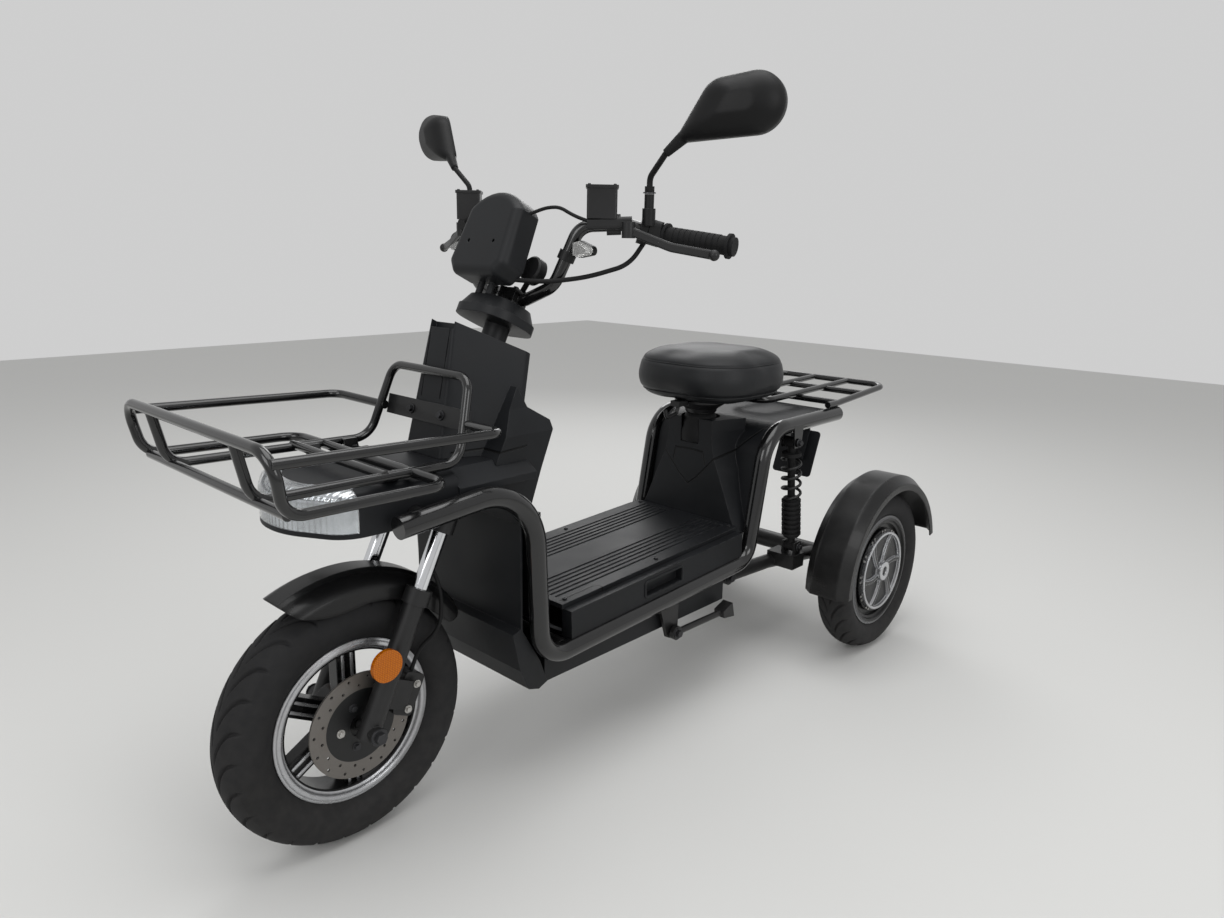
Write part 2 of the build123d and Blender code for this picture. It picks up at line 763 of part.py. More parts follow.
# Stem, neck cone and hollow head, with the glass laid in the head's recess
def mirrors():
    plane = mirror_plane()
    foot, top = mirror_boss()
    neck = plane.from_local_coords((*mirror_neck, 10))
    stem_end = plane.from_local_coords((mirror_neck[0] - 31, mirror_neck[1] - 26, 10))
    along = (top - foot).normalized()
    seat_point = top + along * held_gap
    stem = tube([seat_point + along * 6, seat_point + along * 26, stem_end, neck], [18, 14], 5)
    stem += rod(seat_point, seat_point + along * 12, 8)
    cone = loft([Plane(origin=stem_end, z_dir=neck - stem_end) * Circle(7), Plane(origin=neck, z_dir=neck - stem_end) * Circle(11)])
    shell = extrude(plane * mirror_outline(1), 14)
    steps = [(14, 1), (26, 0.9), (36, 0.7), (mirror_depth, 0.34)]
    shell += loft([plane.offset(depth) * mirror_outline(size) for depth, size in steps])
    keep("mirror_glass", both(extrude(plane * offset(mirror_outline(1), amount=-mirror_wall - held_gap), 4 - held_gap)))
    recess = extrude(plane.offset(-4) * offset(mirror_outline(1), amount=-mirror_wall), 8)
    return both(stem + cone + shell - recess)


# Instrument pod above the clamp: a helmet-shaped case that leans with the steering axis
def pod_outline(shrink):
    low = bar_along + pod_over_bar + shrink
    high = low + pod_height - 2 * shrink
    half = pod_half_width - shrink
    crown = pod_crown_half_width - shrink
    shoulder_height = high - 32
    sides = FilletPolyline((crown, shoulder_height), (half, low + 22), (half - 19, low), (19 - half, low),
                           (-half, low + 22), (-crown, shoulder_height), radius=14)
    top = ThreePointArc((-crown, shoulder_height), (0, high), (crown, shoulder_height))
    return make_face(sides + top)


# The case rounded in front, with a recess for the display and posts down to the cap
def pod():
    base = Plane(origin=steer_point(0, pod_behind), x_dir=(0, 1, 0), z_dir=steer_back * -1)
    case = extrude(base * pod_outline(0), pod_depth)
    front_edges = case.edges().filter_by(lambda edge: abs(base.to_local_coords(edge.center()).Z - pod_depth) < 0.01)
    case = fillet(front_edges, pod_round)
    screen = extrude(base * Pos(0, bar_along + pod_over_bar + 0.6 * pod_height) * RectangleRounded(96, 62, 8), 3)
    case -= screen
    for side in (-1, 1):
        case -= extrude(base.offset(pod_depth - 6) * Pos(side * 33, bar_along + 66) * Circle(3.5), 10)
        case += steer_rod(6, cap_top_along + held_gap, bar_along + pod_over_bar + 8, pod_behind - 7, side * 14)
    return case - bar_tube(bar_od / 2 + held_gap)


# Horn behind the pod's lower left corner, on a stalk from the bar clamp
def horn():
    face = steer_plane(bar_along + 50, 4, 62)
    body = extrude(Plane(origin=face.origin, x_dir=(0, 1, 0), z_dir=steer_back) * Circle(24), 22)
    body = chamfer(body.edges(), 3)
    middle = face.origin + steer_back * 12
    stalk = rod(middle, steer_point(bar_along + 12, axis_offset + 4, 26), 5)
    return body + stalk - bar_tube(bar_od / 2 + held_gap) - bar_clamp(held_gap) - instrument_pod_envelope()


# The pod's outer form without its rounding, a hair off, for its neighbours to clear
def instrument_pod_envelope():
    base = Plane(origin=steer_point(0, pod_behind + held_gap), x_dir=(0, 1, 0), z_dir=steer_back * -1)
    return extrude(base * pod_outline(0), pod_depth)


# Turn signals beside the bar: a black housing on a stalk with a clear lens, pointed outwards
def signal_plane():
    knee, upper = bar_points()[2], bar_points()[shoulder]
    middle = (knee + upper) * 0.5 + Vector(0, 40, 12)
    return Plane(origin=middle, x_dir=(0, 1, 0), z_dir=(1, 0, 0))


# The signal's triangular outline, drawn round three circles
def signal_outline(shrink):
    edges = []
    for x, y, radius in [(-0.25, 9, 5), (-0.25, -9, 5), (0.35, -2, 8)]:
        edges += (Pos(x * signal_length, y) * Edge.make_circle(radius - shrink)).edges()
    return make_hull(edges)


# Housing, stalk and the ring round the bar, with the lens kept as its own piece
def turn_signals():
    plane = signal_plane()
    knee, upper = bar_points()[2], bar_points()[shoulder]
    along = (upper - knee).normalized()
    root = (knee + upper) * 0.5
    housing = extrude(plane * signal_outline(0), -signal_depth * 0.4)
    foot = plane.origin - Vector(0.4 * signal_depth, 0, 0)
    stalk = rod(foot, root, 6)
    ring_part = rod(root - along * 8, root + along * 8, bar_od / 2 + 4)
    lens_part = extrude(plane.offset(held_gap) * signal_outline(0.5), signal_depth * 0.6, taper=12)
    lens_part -= rod(foot, root, 6 + held_gap) + bar_tube(bar_od / 2 + 5)
    keep("signal_lenses", both(lens_part))
    return both(housing + stalk + ring_part) - bar_tube(bar_od / 2 + held_gap)


# Nose panel under the rack: round in front, with a soft top edge and the lamp wrapped round it
def nose_outline(shrink):
    half = nose_half_width
    left = [fore(-140, half + 12, 0), fore(nose_reach - 52, half, 0), fore(nose_reach, 36, 0)]
    right = [Vector(p.X, -p.Y, 0) for p in reversed(left)]
    outline = make_face(FilletPolyline(*left, *right, radius=[60, 130, 130, 60]) + Line(right[-1], left[0]))
    return offset(outline, amount=-shrink) if shrink else outline


# The nose's closed form, its front, sides and top drawn in by this much
def nose_form(shrink):
    form = extrude(Pos(0, 0, nose_bottom) * nose_outline(shrink), nose_height - shrink)
    top_edges = form.faces().sort_by(Axis.Z)[-1].edges().sort_by(Axis.X)[1:]
    return fillet(top_edges, nose_round - shrink)


# The part of the nose's skin that the lamp takes up, grown by a margin
def lamp_region(margin):
    block = Pos(front_axle_x + lens_back - margin + 60, 0, nose_bottom + 8 - margin + 60) * Box(120, 300, 120)
    return block - extrude(Pos(0, 0, nose_bottom - 1) * nose_outline(36 + margin), nose_height + 100)


# The nose hollowed from below and behind, with the lamp's bed cut into its skin
def nose():
    depth = lens_thickness + lens_depth
    body = nose_form(0) - (lamp_region(held_gap) - nose_form(depth + held_gap))
    height = nose_height - 8
    body -= extrude(Pos(0, 0, nose_bottom - 1) * nose_outline(46), height + 1)
    body -= Pos(front_axle_x - 100, 0, nose_bottom - 1 + height / 2) * Box(90, 2 * nose_half_width - 60, height + 2)
    return body + shoulder_block() - head_frame(3) - side_tubes(tube_r + held_gap) - cross_tubes(held_gap)


# Shoulder behind the nose, under the leg shield, sloping down to the side tubes
def shoulder_block():
    half = frame_half_width - tube_r + 1
    outline = [(-half, arch_height), (half, arch_height), (half, arch_height + 12), (108, nose_top), (-108, nose_top),
               (-half, arch_height + 12)]
    plane = Plane(origin=fore(-138, 0, 0), x_dir=(0, -1, 0), z_dir=(-1, 0, 0))
    block = extrude(plane * make_face(Polyline(*outline, close=True)), 162)
    return block - shield_wing(held_gap) - wheel_shroud(held_gap)


# Clear outer skin of the lamp
def lens():
    return (nose_form(0) - nose_form(lens_thickness)) & lamp_region(0)


# Bright bowl behind the lens
def reflector():
    skin = lens_thickness + held_gap
    return (nose_form(skin) - nose_form(lens_thickness + lens_depth)) & lamp_region(0)


# Leg shield: a leaning cover round the head tube, six-sided in plan and narrower upwards
def shield_section(height, front, front_half, side, side_half, back, back_half):
    corners = [(front, -front_half), (side, -side_half), (back, -back_half),
               (back, back_half), (side, side_half), (front, front_half)]
    outline = FilletPolyline(*[fore(x, y, 0) for x, y in corners], radius=[8, 14, 14, 14, 14, 8], close=True)
    return Pos(0, 0, height) * make_face(outline)


# Wing low on the shield: its side outline met by its front outline
def shield_wing(margin):
    low = arch_height
    outline = [(-296, 152), (-316, 115), (-359, 89), (-361, 74), (-334, 9), (-310, -55), (-262, -55), (-232, 6), (-232, 31)]
    face = Plane.XZ * Polyline(*[(front_axle_x + x, low + z) for x, z in outline], close=True)
    side = extrude(offset(make_face(face), amount=margin), 200, both=True)
    half = wing_half_width
    outline = [(-100, 160), (-104, wing_top), (-half, 72), (-half, -60), (half, -60), (half, 72), (104, wing_top), (100, 160)]
    plane = Plane(origin=fore(-220, 0, low), x_dir=(0, -1, 0), z_dir=(-1, 0, 0))
    front = extrude(plane * offset(make_face(Polyline(*outline, close=True)), amount=margin), 160)
    return side & front


# The cover between its foot and its top, notched for the plate and grooved beside it
def leg_shield():
    low = shield_section(shield_foot, -shield_front_low, 51.4, -290, 104, -322, 66)
    high = shield_section(shield_foot + shield_height, -shield_front_high, 29.6, -350.8, 87, -384, 52)
    shell = loft([low, high], ruled=True)
    shell -= extrude(steer_plane(shield_top_along) * Rectangle(400, 800), 400)
    shell -= Pos(front_axle_x - 230, 0, nose_top + held_gap - 50) * Box(400, 400, 100)
    lean = Vector(-shield_lean, 0, shield_height).normalized()
    notch = Plane(origin=facet_point(nose_top + 212), x_dir=(0, 1, 0), z_dir=lean)
    shell -= extrude(notch * Rectangle(64, 28), 60)
    for side in (-1, 1):
        start = facet_point(rack_plate_height + 24) + Vector(0, side * 26, 0)
        shell -= extrude(Plane(origin=start, x_dir=(0, 1, 0), z_dir=lean) * Rectangle(3, 4), 240)
    shell += shield_wing(0) - wheel_shroud(held_gap)
    shell -= head_frame(3)
    shell -= steer_rod(steerer_od / 2 + 5, 0, cap_top_along, axis_offset)
    return shell - side_tubes(tube_r + held_gap)


# A point on the middle of the shield's front facet
def facet_point(height):
    return fore(-shield_front_low - shield_lean / shield_height * (height - shield_foot), 0, height)


# Panel that closes the front of the foot space, between the side tubes
def knee_panel():
    width = 2 * (frame_half_width - tube_r + 6)
    outer = [(-304, 539), (-304, 400), (-314, 330), (-356, 306), (-356, 300),
             (-316, 324), (-309, 330), (-299, 400), (-299, 539)]
    return side_plate(outer, width) - side_tubes(tube_r + held_gap) - cross_tubes(held_gap)


# Shroud behind the front wheel, from under the nose down to the belly
def wheel_shroud(extra=0.0):
    width = 2 * (frame_half_width - tube_r + 6)
    outline = [(-150, 578 + extra), (-222, 578 + extra), (-262 - extra, 530), (-262 - extra, 330), (-302, 262),
               (-320, 214), (-300, 206), (-276, 214),
               (-256, 256), (-240, 330), (-258, 335), (-258, 526), (-220, 573), (-150, 573)]
    shroud = side_plate(outline, width)
    shroud -= steer_rod(head_tube_od / 2 + 6, 330, head_tube_start + 40, axis_offset)
    return shroud - side_tubes(tube_r + held_gap)


# Floor top with grooves in two groups, seated on the cross tubes and the side panels
def floor_plane(height):
    slope = floor_rise / (wheelbase - 294 - 390)
    origin = fore(-360, 0, floor_tube_height + floor_top_over_tube + height)
    return Plane(origin=origin, x_dir=Vector(-1, 0, slope).normalized(), z_dir=Vector(slope, 0, 1).normalized())


# From the floor's front edge to the seat tower
def floor_length():
    return wheelbase - 360 - tower_front - held_gap


# The board with its two groups of grooves
def floorboard():
    plane = floor_plane(-floor_thickness)
    length = floor_length()
    board = extrude(plane * Pos(length / 2, 0) * Rectangle(length, 2 * floor_half_width), floor_thickness)
    grooves = [44, 58, 72, 86, 100, 114]
    cutter = floor_plane(-floor_groove_depth)
    for y in grooves:
        for side in (-1, 1):
            board -= extrude(cutter * Pos(length / 2, side * y) * Rectangle(length - 30, floor_groove_width), 5)
    return board


# Side panels between the floor's edge and the side tubes, the left one with a slot
def side_panels():
    length = floor_length()
    plane = floor_plane(-floor_top_over_tube + 6)
    height = floor_top_over_tube - floor_thickness - 6 - held_gap
    outer = frame_half_width + 5
    panel = extrude(plane * Pos(length / 2, 0) * Rectangle(length - 14, 2 * outer), height)
    panel -= extrude(plane * Pos(length / 2, 0) * Rectangle(length, 2 * (outer - 26)), height)
    slot_middle = length * 0.49
    slot = extrude(plane.offset(28) * Pos(slot_middle, 0) * Rectangle(112, 2 * outer + 4), 28)
    slot -= extrude(plane * Pos(length / 2, 0) * Rectangle(length, 2 * (outer - 16)), height)
    panel -= slot
    return panel - side_tubes(tube_r + held_gap) - cross_tubes(held_gap)


# Belly cover: an open tray under the floor that holds the battery
def belly():
    front = front_axle_x - 322
    back = rear_axle_x + 446
    length = front - back
    cross, cross_radius = cross_places()[1]
    top = cross.Z - cross_radius - held_gap
    height = top - belly_bottom
    place = Pos((front + back) / 2, 0, belly_bottom + height / 2)
    tray = place * Box(length, 2 * belly_half_width, height)
    tray -= Pos(0, 0, panel_thickness) * (place * Box(length - 8, 2 * belly_half_width - 8, height))
    return tray - side_tubes(tube_r + held_gap)


# One plain block on the belly's floor
def battery():
    centre_x = (front_axle_x - 322 + rear_axle_x + 446) / 2
    bottom = belly_bottom + panel_thickness + held_gap
    block = Pos(centre_x, 0, bottom + battery_height / 2) * Box(battery_length, battery_width, battery_height)
    reach = frame_half_width
    middle_tube = aft(640, 0, floor_tube_height + 14)
    block -= rod(middle_tube - Vector(0, reach, 0), middle_tube + Vector(0, reach, 0), cross_tube_od / 2 + held_gap)
    return block


# Seat tower: a sheet that follows the side tubes up and back into the deck, with a housing
# in front that narrows upwards and stands round the seat post
def tower_outline(grow):
    low = arch_height - 244
    foot, waist, neck = tower_foot_half_width + grow, 84 + grow, tower_neck_half_width + grow
    sides = ThreePointArc((foot, low), (0.77 * foot, low + 76), (waist, low + 133))
    sides += ThreePointArc((waist, low + 133), (0.8 * waist, low + 178), (neck, low + 222))
    sides += Polyline((neck, low + 222), (neck, low + 248), (-neck, low + 248), (-neck, low + 222))
    sides += ThreePointArc((-neck, low + 222), (-0.8 * waist, low + 178), (-waist, low + 133))
    sides += ThreePointArc((-waist, low + 133), (-0.77 * foot, low + 76), (-foot, low)) + Line((-foot, low), (foot, low))
    return make_face(sides)


# The sheet and the housing in one, bored for the seat post
def seat_tower():
    width = 2 * (frame_half_width - tube_r + 6)
    deck = deck_tube_height + 6
    floor = arch_height - 248
    path = FilletPolyline(aft(376, 0, floor), aft(330, 0, deck), aft(30, 0, deck), radius=82)
    sheet = sweep(Plane(origin=path @ 0, x_dir=(0, 1, 0), z_dir=path % 0) * Rectangle(width, tower_wall), path=path)
    front = Plane(origin=aft(tower_front, 0, 0), x_dir=(0, 1, 0), z_dir=(1, 0, 0))
    housing = loft([front.offset(-90) * tower_outline(30), front * tower_outline(0)], ruled=True)
    wall = [aft(376, 0, floor), aft(330, 0, deck), aft(30, 0, deck), aft(30, 0, floor)]
    behind = extrude(make_face(FilletPolyline(*wall, radius=[0.01, 82, 0.01, 0.01], close=True)), 2 * width, both=True)
    housing -= behind
    housing -= rod(aft(seat_post_back, 0, seat_post_foot + 25), aft(seat_post_back, 0, 700), seat_post_od / 2 + 16)
    tower = housing + sheet
    tower -= rod(aft(seat_post_back, 0, seat_post_foot - held_gap), aft(seat_post_back, 0, 700), seat_post_od / 2 + held_gap)
    return tower - side_tubes(tube_r + held_gap) - cross_tubes(held_gap)


# Seat post and the padded saddle, its rounds given by how far up each lies
def seat():
    post = rod(aft(seat_post_back, 0, seat_post_foot), aft(seat_post_back, 0, saddle_bottom - held_gap), seat_post_od / 2)
    keep("seat_post", post)
    plane = Plane(origin=aft(338, 0, saddle_bottom), x_dir=(1, 0, 0), z_dir=(0, 0, 1))
    sections = [
        # height, less length and width, corner
        (0, 76, 88),
        (0.15, 18, 106),
        (0.45, 0, 116),
        (0.72, 16, 112),
        (0.9, 58, 94),
        (1, 130, 62),
    ]
    rounds = []
    for height, less, corner in sections:
        rounds.append(plane.offset(height * saddle_height) * RectangleRounded(saddle_length - less, saddle_width - less, corner))
    keep("saddle", loft(rounds))


# Front rack: the outer deck loop, the hoop with its uprights and rails, and the top rails
def front_rack(extra=0.0):
    front = rack_front_reach
    deck = rack_deck_height
    wire = rack_r + extra
    branch = wire - rack_branch_less
    outer = tube([fore(front, 0, rack_top_height), fore(front, rack_rail_half_width, rack_top_height),
                  fore(front - 16, rack_deck_half_width + 6, deck), fore(-62, rack_deck_half_width, deck - 6),
                  fore(-62, 0, deck - 6)], [35, 34, 34], wire)
    hoop = tube([fore(front, rack_inner_half_width, rack_top_height), fore(front - 18, rack_inner_half_width, deck),
                 fore(-150, rack_inner_half_width - 8, deck - 6), fore(-191, 106, rack_top_height + 38),
                 fore(-191, 0, rack_top_height + 38)], [34, 40, 30], branch)
    rail = tube([fore(front, rack_rail_half_width - 6, rack_top_height - 14),
                 fore(-150, rack_rail_half_width - 8, rack_top_height - 26), fore(-174, 112, rack_top_height - 34)],
                [26], branch)
    cross = rod(fore(front - 24, 0, deck), fore(front - 24, rack_deck_half_width, deck), branch)
    cross += rod(fore(-10, 0, deck), fore(-10, rack_inner_half_width, deck), branch - rack_branch_less)
    half = outer + hoop + rail + cross
    for x in (-34, -104):
        half += rack_strap(x)
    return both(half)


# Strap from an inner rail down to the nose's top
def rack_strap(x):
    low = nose_top + held_gap
    thick = rack_strap_thickness
    rail = rack_inner_half_width
    foot = rail - 50
    outline = [(foot, low), (foot + 26, low), (foot + 32, rack_deck_height - thick), (rail, rack_deck_height - thick),
               (rail, rack_deck_height), (foot + 28, rack_deck_height), (foot + 23, low + thick), (foot, low + thick)]
    plane = Plane(origin=fore(x - 13, 0, 0), x_dir=(0, 1, 0), z_dir=(1, 0, 0))
    return extrude(plane * make_face(Polyline(*outline, close=True)), 26)


# Plate behind the hoop, flat on the shield's front facet, its ends a hair short of the hoop
def rack_plate():
    normal = Vector(shield_height, 0, shield_lean).normalized()
    plane = Plane(origin=facet_point(rack_plate_height) + normal * held_gap, x_dir=(0, 1, 0), z_dir=normal)
    return extrude(plane * Rectangle(228, 34), 4) - front_rack(0.8)


# Rear rack: outer loop on the frame's tube ends and an inner loop with cross bars
def rear_rack():
    low = deck_tube_height + tube_r + rack_r + held_gap
    high = low + rear_rack_rise
    end = -rear_overhang + rack_r
    half = frame_half_width
    start = 20

    # Height of the outer loop as it climbs towards its back end
    def climb(x):
        return low + rear_rack_rise * (start - x) / (start - end)

    outer = tube([aft(70, half, low), aft(start, half, low), aft(end, half, high), aft(end, 0, high)], [60, 34], rack_r)
    inner = tube([aft(180, 0, low + 8), aft(180, rear_rack_inner, low + 8), aft(end, rear_rack_inner, high)], [34], rack_r)
    bars = Part()
    for x in (start, -110):
        bars += rod(aft(x, 0, climb(x)), aft(x, half, climb(x)), rack_r)
    return both(outer + inner + bars)


# Number plate and lamp bracket, hung from the rearmost cross tube
def plate_bracket():
    place, radius = cross_places()[5]
    top = place.Z - radius - held_gap
    outline = [(66, top), (-72, top), (-90, 505), (-62, 430), (-57, 432), (-84, 505), (-67, top - 5), (66, top - 5)]
    return side_plate([(x - wheelbase, z) for x, z in outline], 60)


# Swingarm: two trailing arms and the axle tube, from a pivot behind the belly
def swingarm():
    half = swing_arm_half
    arms = Part()
    for side in (-1, 1):
        arms += tube([swing_pivot + Vector(0, side * half, 0), aft(230, side * half, 236), aft(0, side * half, rear_axle_z)],
                     [80], swing_tube_od / 2)
        arms += aft_block(shock_foot_back, side * (shock_half_spread - 14), 245, 50, 74, 34)
        for inner in (-1, 1):
            offset = shock_eye_length / 2 + held_gap + shock_cheek / 2
            middle = side * shock_half_spread + inner * offset
            arms += aft_block(shock_foot_back, middle, shock_foot_height - 8, 28, shock_cheek, 40)
    reach = Vector(0, half + 14, 0)
    arms += rod(swing_pivot - reach, swing_pivot + reach, swing_pivot_od / 2)
    inner_face = wheel_half_track - rim_width / 2 - 7
    arms += rod(aft(0, -inner_face, rear_axle_z), aft(0, inner_face, rear_axle_z), axle_tube_od / 2)
    axle_end = wheel_half_track + rim_width / 2
    arms += rod(aft(0, -axle_end, rear_axle_z), aft(0, axle_end, rear_axle_z), front_axle_od / 2)
    eye = aft(shock_foot_back, 0, shock_foot_height)
    across = Vector(0, 200, 0)
    return arms - rod(eye - across, eye + across, shock_pin_od / 2 + held_gap)


# A block centred on a point given from the rear axle
def aft_block(x, y, z, x_size, y_size, z_size):
    place = aft(x, y, z)
    return Pos(place.X, place.Y, place.Z) * Box(x_size, y_size, z_size)


# Shock absorbers: body with its ribbed cover, and the open spring above it
def shocks():
    low = aft(shock_foot_back, shock_half_spread, shock_foot_height)
    high = aft(shock_top_back, shock_half_spread, shock_top_height)
    along = (high - low).normalized()

    def at(distance):
        return Plane(origin=low + along * distance, z_dir=along)

    reach = (high - low).length
    cover_start = 26
    cover_length = 100
    body = extrude(at(0) * Circle(9), reach)
    body += extrude(at(cover_start) * Circle(shock_cover_od / 2 - 4), cover_length)
    for index in range(8):
        body += extrude(at(cover_start + 5 + index * 12) * Circle(shock_cover_od / 2), 6)
    body += extrude(at(reach - 34) * Circle(shock_cover_od / 2), 8)
    half = Vector(0, shock_eye_length / 2, 0)
    for end in (low, high):
        body += rod(end - half, end + half, shock_eye_od / 2)
        body += rod(end - half * 1.6, end + half * 1.6, shock_pin_od / 2)
    spring_start = cover_start + cover_length + spring_wire / 2 + 0.5
    spring_end = reach - 34 - spring_wire / 2 - 0.5
    pitch = (spring_end - spring_start) / spring_turns
    radius = spring_od / 2 - spring_wire / 2
    helix = Helix(pitch, spring_end - spring_start, radius)
    section = Plane(origin=helix @ 0, z_dir=helix % 0) * Circle(spring_wire / 2)
    coil = sweep(section, path=helix)
    coil = at(spring_start).location * coil
    keep("shock_bodies", both(body))
    keep("shock_springs", both(coil))


# Rear mudguards: deep shells, each on an arm from the axle tube
def rear_guard(side):
    outer = rear_guard_radius
    inner = outer - rear_guard_thickness
    half = rear_guard_width / 2
    section = [(-half, outer - 40), (-half, outer - 18), (-half * 0.6, outer), (half * 0.6, outer), (half, outer - 18),
               (half, outer - 34), (half - 3, outer - 34), (half - 3, inner - 17), (half * 0.58, inner),
               (-half * 0.58, inner), (-half + 3, inner - 17), (-half + 3, outer - 40)]
    shell = turned(section)
    wedge = sector(rear_guard_front, rear_guard_back, 3 * outer, half + 1)
    guard = Pos(rear_axle_x, wheel_half_track + rear_guard_shift, rear_axle_z) * (shell & wedge)
    inner_y = wheel_half_track + rear_guard_shift - half
    arm = rod(aft(0, 190, rear_axle_z + axle_tube_od / 2 + 9), aft(60, inner_y + 1, rear_axle_z + 205), 8)
    arm += aft_block(0, 190, rear_axle_z + axle_tube_od / 2 + 6 + held_gap, 30, 24, 12)
    return guard + arm if side > 0 else mirrored(guard + arm)


# Side stand, folded up under the left of the floor
stand_pivot = fore(-672, 168, 199)
stand_reach = 186


# Plate that hangs from the side tube and carries the stand's pivot
def stand_bracket():
    top = floor_tube_height - 4
    plate = side_plate([(-630, top), (-690, top), (-690, 196), (-672, 182), (-656, 190), (-640, 236)], 8, 154)
    plate += side_plate([(-630, top), (-690, top), (-690, top - 12), (-630, top - 12)], 40, 136)
    plate -= Pos(*Vector(stand_pivot.X, 154, stand_pivot.Z)) * disc(6 + running_gap, 30)
    return plate - side_tubes(tube_r + held_gap) - belly_envelope()


# Room taken by the belly cover, a hair larger
def belly_envelope():
    front = front_axle_x - 322
    back = rear_axle_x + 446
    return Pos((front + back) / 2, 0, 250) * Box(front - back, 2 * (belly_half_width + held_gap), 130)


# Leg, pivot pin and the flat foot at its end
def stand_leg():
    place = Pos(stand_pivot.X, 0, stand_pivot.Z)
    leg = place * disc(15, 10, stand_pivot.Y)
    leg += place * disc(6, 34, 158)
    end = stand_pivot + Vector(-stand_reach + 16, 0, -4)
    leg += rod(stand_pivot, end, 7)
    foot = side_plate([(-672 - stand_reach + 34, 202), (-672 - stand_reach, 214), (-672 - stand_reach - 8, 180),
                       (-672 - stand_reach + 30, 186)], 26, stand_pivot.Y)
    return leg + foot


# Hook under the saddle's front for a bag
def bag_hook():
    hook = aft_block(452, 0, saddle_bottom - 6 - held_gap, 34, 24, 12)
    hook += tube([aft(454, 0, saddle_bottom - 8), aft(462, 0, 620), aft(496, 0, 614), aft(501, 0, 632)], [7, 7], 4.5)
    return hook


# Hose held along its whole length, its bends as round as its straight runs allow
def held_hose(points, radius):
    bends = []
    for before, corner, after in zip(points, points[1:], points[2:]):
        run_in = corner - before
        run_out = after - corner
        half_turn = radians(run_in.get_angle(run_out)) / 2
        bends.append(0.45 * min(run_in.length, run_out.length) / tan(half_turn))
    print("hose bend radii", [round(bend) for bend in bends])
    return tube(points, bends, radius)


# Brake hose from the yoke down behind the left fork leg to the caliper
def brake_hose():
    yoke_bottom = stanchion_length - yoke_height
    points = [steer_point(yoke_bottom - held_gap, 8, 50), steer_point(296, 8, 50), steer_point(240, 56, 66),
              steer_point(180, 78, 66), steer_point(136, 62, 50), steer_point(caliper_top + held_gap, 62, 50)]
    return held_hose(points, 3.5)


# Cables of the bar: a thick one from each switch pod and a hose from each master cylinder,
# all led to the back of the instrument pod
def control_cables():
    middle = steer_point(bar_along, axis_offset)
    routes = [
        # radius, points from the middle of the bar
        (4, [(-118, 222, 108), (-92, 208, 66), (-44, 156, 44), (4, 116, 36), (26, 78, 36), (50, 30, 40)]),
        (3, [(-44, 176, 131), (-28, 142, 143), (-21, 112, 158), (-14, 88, 157), (2, 62, 146)]),
    ]
    cables = Part()
    for radius, route in routes:
        cables += held_hose([middle + Vector(*point) for point in route], radius)
    for name in ("switch_pods", "brake_levers", "instrument_pod"):
        cables -= parts[name]
    return both(cables)


front_wheel()
rear_wheels()
frame()
fork()
keep("front_mudguard", front_guard())
keep("fork_reflectors", reflectors())
keep("brake_caliper", caliper())
keep("headset_cap", headset_cap())
keep("handlebar", handlebar())
keep("grips", grips())
keep("switch_pods", switch_pods())
keep("brake_levers", brake_levers())
keep("mirrors", mirrors())
keep("instrument_pod", pod())
keep("horn", horn())
keep("turn_signals", turn_signals())
keep("nose_panel", nose())
keep("headlamp_reflector", reflector())
keep("headlamp_lens", lens())
keep("leg_shield", leg_shield())
keep("knee_panel", knee_panel())
keep("wheel_shroud", wheel_shroud())
keep("floorboard", floorboard())
keep("side_panels", side_panels())
keep("belly_cover", belly())
keep("battery", battery())
keep("seat_tower", seat_tower())
seat()
keep("front_rack", front_rack())
keep("rack_plate", rack_plate())
keep("rear_rack", rear_rack())
keep("plate_bracket", plate_bracket())
keep("swingarm", swingarm())
shocks()
keep("rear_mudguard_left", rear_guard(1))
keep("rear_mudguard_right", rear_guard(-1))
keep("stand_bracket", stand_bracket())
keep("side_stand", stand_leg())
keep("bag_hook", bag_hook())
keep("brake_hose", brake_hose())
keep("control_cables", control_cables())

for name, shape in parts.items():
    export_step(shape, f"parts/{name}.step")
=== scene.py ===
# %% [markdown]
# A three-wheeled cargo scooter, dressed
#
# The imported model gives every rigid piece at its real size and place. This script gives
# each piece its finish, and adds what a solid model leaves out: tyre tread, bolts, the
# display's glass and the stuffed saddle with its seams. Everything is in metres, with X
# forward, Y to the rider's left and Z up, so a new piece goes where the frame says and
# nothing is fitted afterwards.

from math import atan2, cos, pi, radians, sin

import bmesh
import bpy
from mathutils import Matrix, Vector


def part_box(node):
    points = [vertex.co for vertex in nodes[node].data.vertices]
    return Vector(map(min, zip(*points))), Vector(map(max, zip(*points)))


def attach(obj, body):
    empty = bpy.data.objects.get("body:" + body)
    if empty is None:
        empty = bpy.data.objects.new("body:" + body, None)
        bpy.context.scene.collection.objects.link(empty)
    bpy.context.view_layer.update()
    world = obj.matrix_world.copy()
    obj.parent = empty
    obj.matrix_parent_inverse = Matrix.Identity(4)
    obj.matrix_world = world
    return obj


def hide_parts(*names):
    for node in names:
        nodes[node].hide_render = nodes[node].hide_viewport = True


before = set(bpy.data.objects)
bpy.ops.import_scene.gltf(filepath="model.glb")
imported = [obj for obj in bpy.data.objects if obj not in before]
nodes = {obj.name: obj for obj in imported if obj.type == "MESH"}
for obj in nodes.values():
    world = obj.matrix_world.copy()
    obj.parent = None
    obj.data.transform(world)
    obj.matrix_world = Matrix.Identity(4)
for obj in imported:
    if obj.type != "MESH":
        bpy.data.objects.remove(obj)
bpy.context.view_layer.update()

# %% [markdown]
# The camera
#
# The photograph was taken about a metre above the ground, off the front left corner, with
# a wide lens. The place and the angles come from solving the view for the wheel circles
# and the floor's long edges. Blender's camera looks along its own -Z, so its matrix is
# built from the three directions right, up and back.

